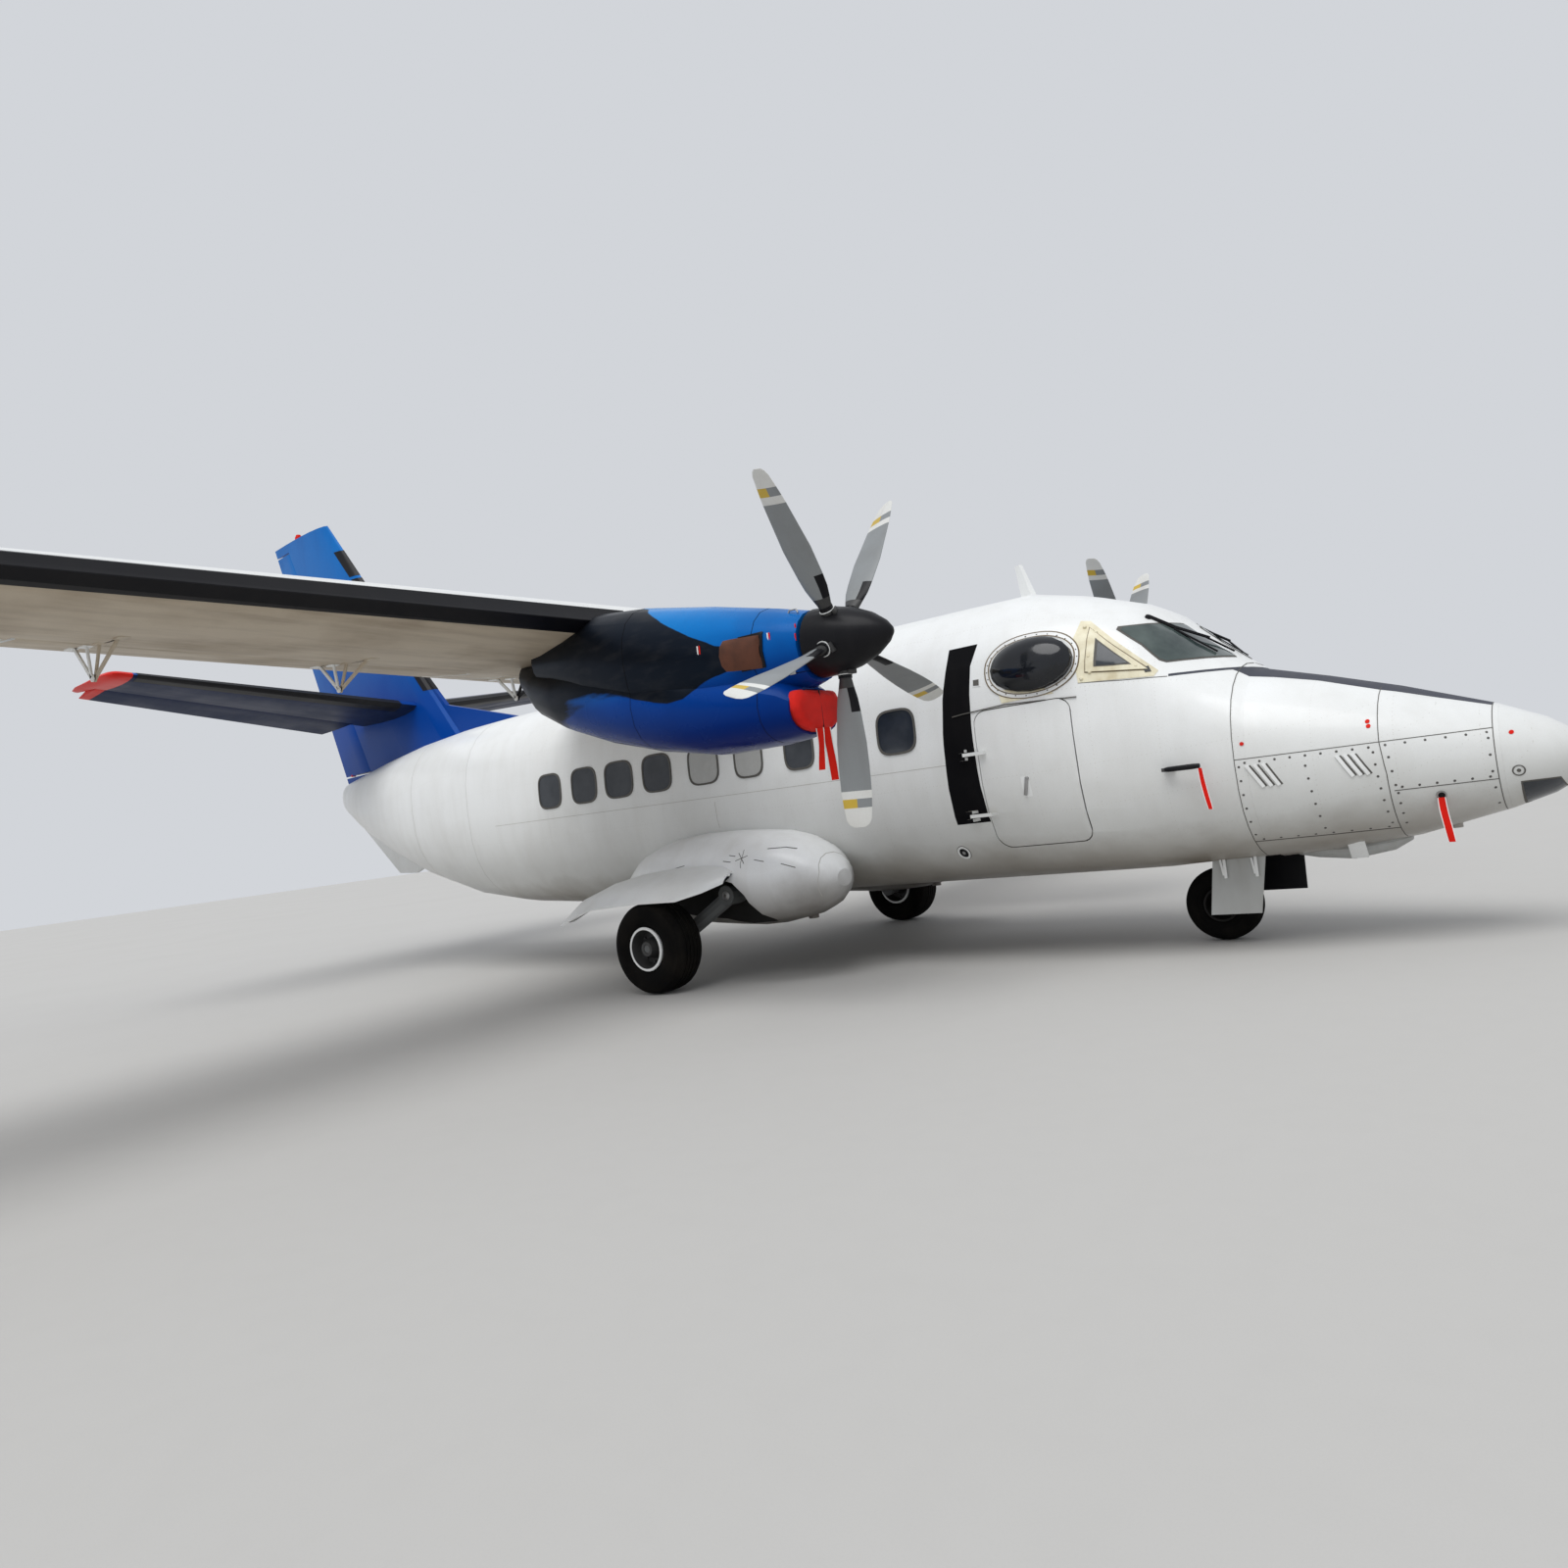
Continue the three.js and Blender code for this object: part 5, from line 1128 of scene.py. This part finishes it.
for flapName, wingName, look, side, ys in brackets:
    joint = [j for j in frame["record"]["behaviour"]["joints"] if j["child"] == flapName][0]
    start, along = Vector(joint["pos_m"]), Vector(joint["axis"])
    for name, prefix, body, strutLook, reaches, way in (
            (wingName, "flap_struts_", "airframe", look, (-0.44, -0.13), -1),
            (flapName, "flap_arms_", flapName, "plainWhite", (0.03, 0.25), 1)):
        tree, parts = treeOf(skin[name]), []
        for y in ys:
            pin = start + along * ((side * y - start.y) / along.y)
            for reach in reaches:
                beside, low = strut["probe"]
                top = tree.ray_cast(Vector((pin.x - reach, side * (y + beside), low)), Vector((0, 0, 1)))[0]
                if top:
                    top.y = pin.y = side * (y + way * strut["out"])
                    parts.append(flatBar(top + Vector((0, 0, strut["into"])), pin, *strut["bar"]))
                    sole, half = top - Vector((0, 0, strut["sunk"])), Vector((strut["soleHalf"], 0, 0))
                    parts.append(flatBar(sole - half, sole + half, *strut["sole"]))
            eye = domed(*strut["eye"])
            eye.matrix_world = turned((pin.x, side * (y + way * strut["eyeOut"]), pin.z), -90 * side * way, "X")
            parts.append(eye)
        finish(joined(parts), prefix + flapName, strutLook, body)
print("flap struts in")


# Covers of the intakes: padded canvas, with its seam and blank ribbons

coverSpec = {"shrink": 0.97, "swell": 0.010, "voxel": 0.012, "pressure": 4.0, "frames": 20, "ahead": 0.026,
             # radius, how far behind the cover's front and at which z its ends lie
             "seam": (0.0045, (0.030, 2.005), (0.032, 1.775))}


def swollen(cover):
    before = [v.co.copy() for v in cover.data.vertices]
    cloth = cover.modifiers.new("cloth", "CLOTH")
    cloth.settings.use_pressure = True
    cloth.settings.uniform_pressure_force = coverSpec["pressure"]
    cloth.settings.effector_weights.gravity = 0
    cloth.point_cache.frame_start = 1
    cloth.point_cache.frame_end = coverSpec["frames"]
    for number in range(1, coverSpec["frames"] + 1):
        bpy.context.scene.frame_set(number)
    useOnly(cover)
    bpy.ops.object.modifier_apply(modifier="cloth")
    bpy.context.scene.frame_set(1)
    for vertex, old in zip(cover.data.vertices, before):
        step = vertex.co - old
        if step.length > coverSpec["swell"]:
            vertex.co = old + step.normalized() * coverSpec["swell"]


def canvasCover(nodeName):
    node = frame["nodes"][nodeName]
    cover = copied(node)
    vertices = cover.data.vertices
    middle = sum((v.co for v in vertices), Vector()) / len(vertices)
    cover.matrix_world = (Matrix.Translation(middle) @ Matrix.Scale(coverSpec["shrink"], 4)
                          @ Matrix.Translation(-middle))
    settle(cover)
    modify(cover, "REMESH", mode="VOXEL", voxel_size=coverSpec["voxel"])
    vertices = cover.data.vertices
    half = [(max(v.co[k] for v in vertices) - min(v.co[k] for v in vertices)) / 2 for k in range(3)]
    for vertex in vertices:  # a wide flat top and a narrower foot
        across, up = (vertex.co.y - middle.y) / half[1], (vertex.co.z - middle.z) / half[2]
        high = up * 1.10
        if up > 0:
            square = 1.08 + 0.9 * max(0, abs(across) - 0.35) ** 1.5 * min(1, up * 1.6)
            high = min(1.07 - 0.05 * math.cos(across * 5), up * square)
        vertex.co = (vertex.co.x + coverSpec["ahead"],
                     middle.y + half[1] * across * (1.05 + 0.08 * min(1, max(-1, up * 1.4))),
                     middle.z + half[2] * high)
    swollen(cover)
    modify(cover, "SMOOTH", factor=0.5, iterations=3)
    finish(cover, nodeName + "_canvas", "canvas", node["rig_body"], 60)
    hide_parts(nodeName)


def ribbonOf(points, width, facing, name):  # a flat band that hangs along points
    lengths = [0.0]
    for a, b in zip(points, points[1:]):
        lengths.append(lengths[-1] + (b - a).length)
    total, steps, columns = lengths[-1], 36, 6
    band = made(bpy.ops.mesh.primitive_grid_add, x_subdivisions=columns, y_subdivisions=steps, size=1)

    def spotAt(distance):
        for k in range(len(points) - 1):
            if distance <= lengths[k + 1] or k == len(points) - 2:
                return points[k].lerp(points[k + 1], (distance - lengths[k]) / (lengths[k + 1] - lengths[k]))

    for vertex in band.data.vertices:
        across, share = vertex.co.x, 0.5 - vertex.co.y
        across *= 1.26 if abs(across) < 0.45 else 1  # the outer columns are the narrow white edge
        smooth = sum((spotAt(min(total, max(0.0, share * total + d))) for d in (-0.03, 0.0, 0.03)), Vector()) / 3
        turn = facing + 0.25 * math.sin(share * 6 + width * 40)
        vertex.co = smooth + Vector((math.sin(turn), math.cos(turn), 0)) * across * width
    for look in ("red", "plainWhite"):
        band.data.materials.append(looks[look])
    for k, face in enumerate(band.data.polygons):
        face.material_index = int(k % columns in (0, columns - 1))
    modify(band, "SUBSURF", levels=1, render_levels=1)
    modify(band, "SOLIDIFY", thickness=0.0012, offset=0.0)
    finish(band, name, None, angle=60)


ribbons = {
    # width, the way its width lies (0 across, a quarter turn fore and aft), and station, y, z down the band
    "cover_a": (0.058, 0.90, [(3.700, -2.395, 1.78), (3.694, -2.395, 1.68), (3.680, -2.40, 1.56),
                              (3.668, -2.41, 1.43)]),
    "cover_b": (0.050, 0.60, [(3.704, -2.455, 1.78), (3.700, -2.46, 1.69), (3.704, -2.47, 1.60),
                              (3.710, -2.48, 1.50)]),
    "nose": (0.045, 1.57, [(0.719, -0.462, 0.885), (0.716, -0.470, 0.80), (0.706, -0.473, 0.72),
                           (0.692, -0.476, 0.60)]),
    "probe": (0.032, 1.57, [(1.918, -0.985, 1.236), (1.912, -0.989, 1.15), (1.900, -0.991, 1.06),
                            (1.882, -0.992, 0.955)]),
}
sleeveProfile = [(0.0, 0.002), (0.0, 0.013), (0.02, 0.0165), (0.17, 0.0175), (0.215, 0.015), (0.218, 0.002),
                 (0.0, 0.002)]
sleeveAt = (2.14, 0.962, 1.241)  # station, y, z
for hand, side in sides:
    canvasCover("intake_cover_" + hand)
    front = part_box("intake_cover_" + hand)[1][0]
    radius, *ends = coverSpec["seam"]
    seam = tubeAlong([(front + x, side * propeller["y"], z) for x, z in ends], radius)
    finish(seam, "cover_seam_" + hand, "satinBlack")
    for name, (width, facing, points) in ribbons.items():
        if name != "nose" or side == starboard:
            ribbonOf([at(s, side * -y, z) for s, y, z in points], width, facing * -side,
                     "ribbon_%s_%s" % (name, hand))
    sleeve = latheOf(sleeveProfile, 20)
    s, y, z = sleeveAt
    sleeve.matrix_world = turned(at(s, side * y, z), -90, "Z")
    finish(sleeve, "probe_cover_" + hand, "boot")
print("covers and ribbons on")


# Door handles

doorFittings = {
    # name: side, station and z of the handle's ends
    "crew_door": (starboard, (3.061, 1.302), (3.092, 1.189)),
    "passenger_door": (port, (8.09, 1.42), (8.20, 1.42)),
    "cargo_door": (port, (9.13, 1.42), (9.22, 1.42)),
    "baggage_door": (port, (1.20, 0.93), (1.32, 0.93)),
}
recessMargin, recessHeight = 0.014, 0.0015
for name, (side, (s0, z0), (s1, z1)) in doorFittings.items():
    body = frame["nodes"][name]["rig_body"]
    fore, aft = s0 - recessMargin, s1 + recessMargin
    low, high = min(z0, z1) - recessMargin, max(z0, z1) + recessMargin
    outline = [(fore, low), (aft, low), (aft, high), (fore, high)]
    finish(polygonOnSkin(outline, side, recessHeight, wholeForm), name + "_recess", "plainWhite", body=body)
    (spot0, normal0), (spot1, normal1) = onSkin(s0, z0, side), onSkin(s1, z1, side)
    lever = flatBar(spot0 + normal0 * 0.012, spot1 + normal1 * 0.012, 0.012, 0.022)
    knob = domed(0.014, 0.02, 10)
    knob.matrix_world = standing(spot0, normal0)
    finish(joined([lever, knob]), name + "_handle", "steel", body=body)


# Marks on the sponsons, the landing gear's small parts, lights and the aerial below the nose

gear = {
    "scratches": [
        # station and z of both ends
        ((5.20, 0.985), (5.31, 0.955)), ((5.255, 1.03), (5.245, 0.90)), ((5.21, 0.93), (5.30, 1.01)),
        ((5.05, 1.02), (4.92, 1.015)), ((4.92, 1.015), (4.85, 0.995)), ((5.12, 0.95), (5.04, 0.93)),
        ((5.46, 0.96), (5.36, 0.95)), ((5.40, 1.0), (5.33, 0.99)), ((4.80, 0.86), (4.90, 0.90)),
        ((6.10, 0.93), (5.95, 0.95)),
    ],
    "panel": [((4.70, 0.94), (4.66, 0.80)), ((4.66, 0.80), (4.68, 0.62))],
    "doorY": 0.325, "doorArms": (2.045, 1.843),
    # each arm's bars: station past the arm and z of both ends, width, thickness
    "armBars": (((0, 0.60), (0, 0.46), 0.012, 0.020), ((0.025, 0.59), (0.012, 0.48), 0.010, 0.014)),
    "eyeAt": (5.49, 0.69), "eye": (("eye", 0.036, 0.014, "steel"), ("eye_hole", 0.016, 0.018, "seam")),
}
for hand, side in sides:
    shell = skin["sponson_" + hand]
    seams("sponson_scratches_" + hand, gear["scratches"], side, 0.005, 0.0008, "seam", shell)
    seams("sponson_seam_" + hand, gear["panel"], side, 0.004, 0.0008, "faint", shell)
    bars = [flatBar(at(s + s0, side * gear["doorY"], z0), at(s + s1, side * gear["doorY"], z1), wide, thick)
            for s in gear["doorArms"] for (s0, z0), (s1, z1), wide, thick in gear["armBars"]]
    finish(joined(bars), "nose_door_hinges_" + hand, "plainWhite")
    s, z = gear["eyeAt"]
    spot, normal = castInward(treeOf(skin["main_leg_" + hand]), s, side * rayFrom, z, side)
    for name, radius, height, look in gear["eye"]:
        piece = domed(radius, height, 20)
        piece.matrix_world = standing(spot - normal * 0.004, normal)
        finish(piece, "main_leg_%s_%s" % (name, hand), look)

aerial = flatBar(at(1.235, -0.30, 0.64), at(1.235, -0.22, 0.53), 0.10, 0.010, across=(1, 0, 0))
finish(aerial, "belly_aerial", "plainWhite")
for name, radius, height, spot in (("tail_light", 0.03, 0.035, at(13.10, 0, 2.47)),
                                   ("fin_light", 0.048, 0.10, at(13.77, 0, 5.80))):
    lens = domed(radius, height, 14)
    lens.location = spot
    finish(lens, name, "red")
# the left nose gear door is painted satin black: painted shade
for nodeName, look in (("engine_right", "darkSteel"), ("engine_left", "darkSteel"),
                       ("nose_gear_door_right", "doorGrey"), ("nose_gear_door_left", "satinBlack")):
    node = frame["nodes"][nodeName]  # plain solids that stay
    node.data.materials.clear()
    node.data.materials.append(looks[look])
print("small things on")


# Floor and light

light = {"world": (0.92, 0.95, 1.0), "worldStrength": 0.70, "sun": 1.8, "softness": 45, "lean": (26, 7)}


def stageSet():
    bpy.context.scene.view_settings.view_transform = "Standard"
    floor = made(bpy.ops.mesh.primitive_plane_add, size=160, location=(0, 0, -0.002))
    floor.name = "floor"
    floor.data.materials.append(paint("pale floor", (0.50, 0.49, 0.47), (0.42, 0.41, 0.39), 0.1, cloud=0.4,
                                      rough=(0.7, 0.85), bump=0.0))
    world = bpy.data.worlds.new("studio")
    world.use_nodes = True
    back = world.node_tree.nodes["Background"]
    back.inputs["Color"].default_value = (*light["world"], 1)
    back.inputs["Strength"].default_value = light["worldStrength"]
    bpy.context.scene.world = world
    sun = bpy.data.lights.new("sky light", "SUN")
    sun.energy = light["sun"]
    sun.angle = math.radians(light["softness"])
    linked("sky light", sun).rotation_euler = (*map(math.radians, light["lean"]), 0)


stageSet()
for helper in (form, wholeForm):
    bpy.data.objects.remove(helper)

print("done")
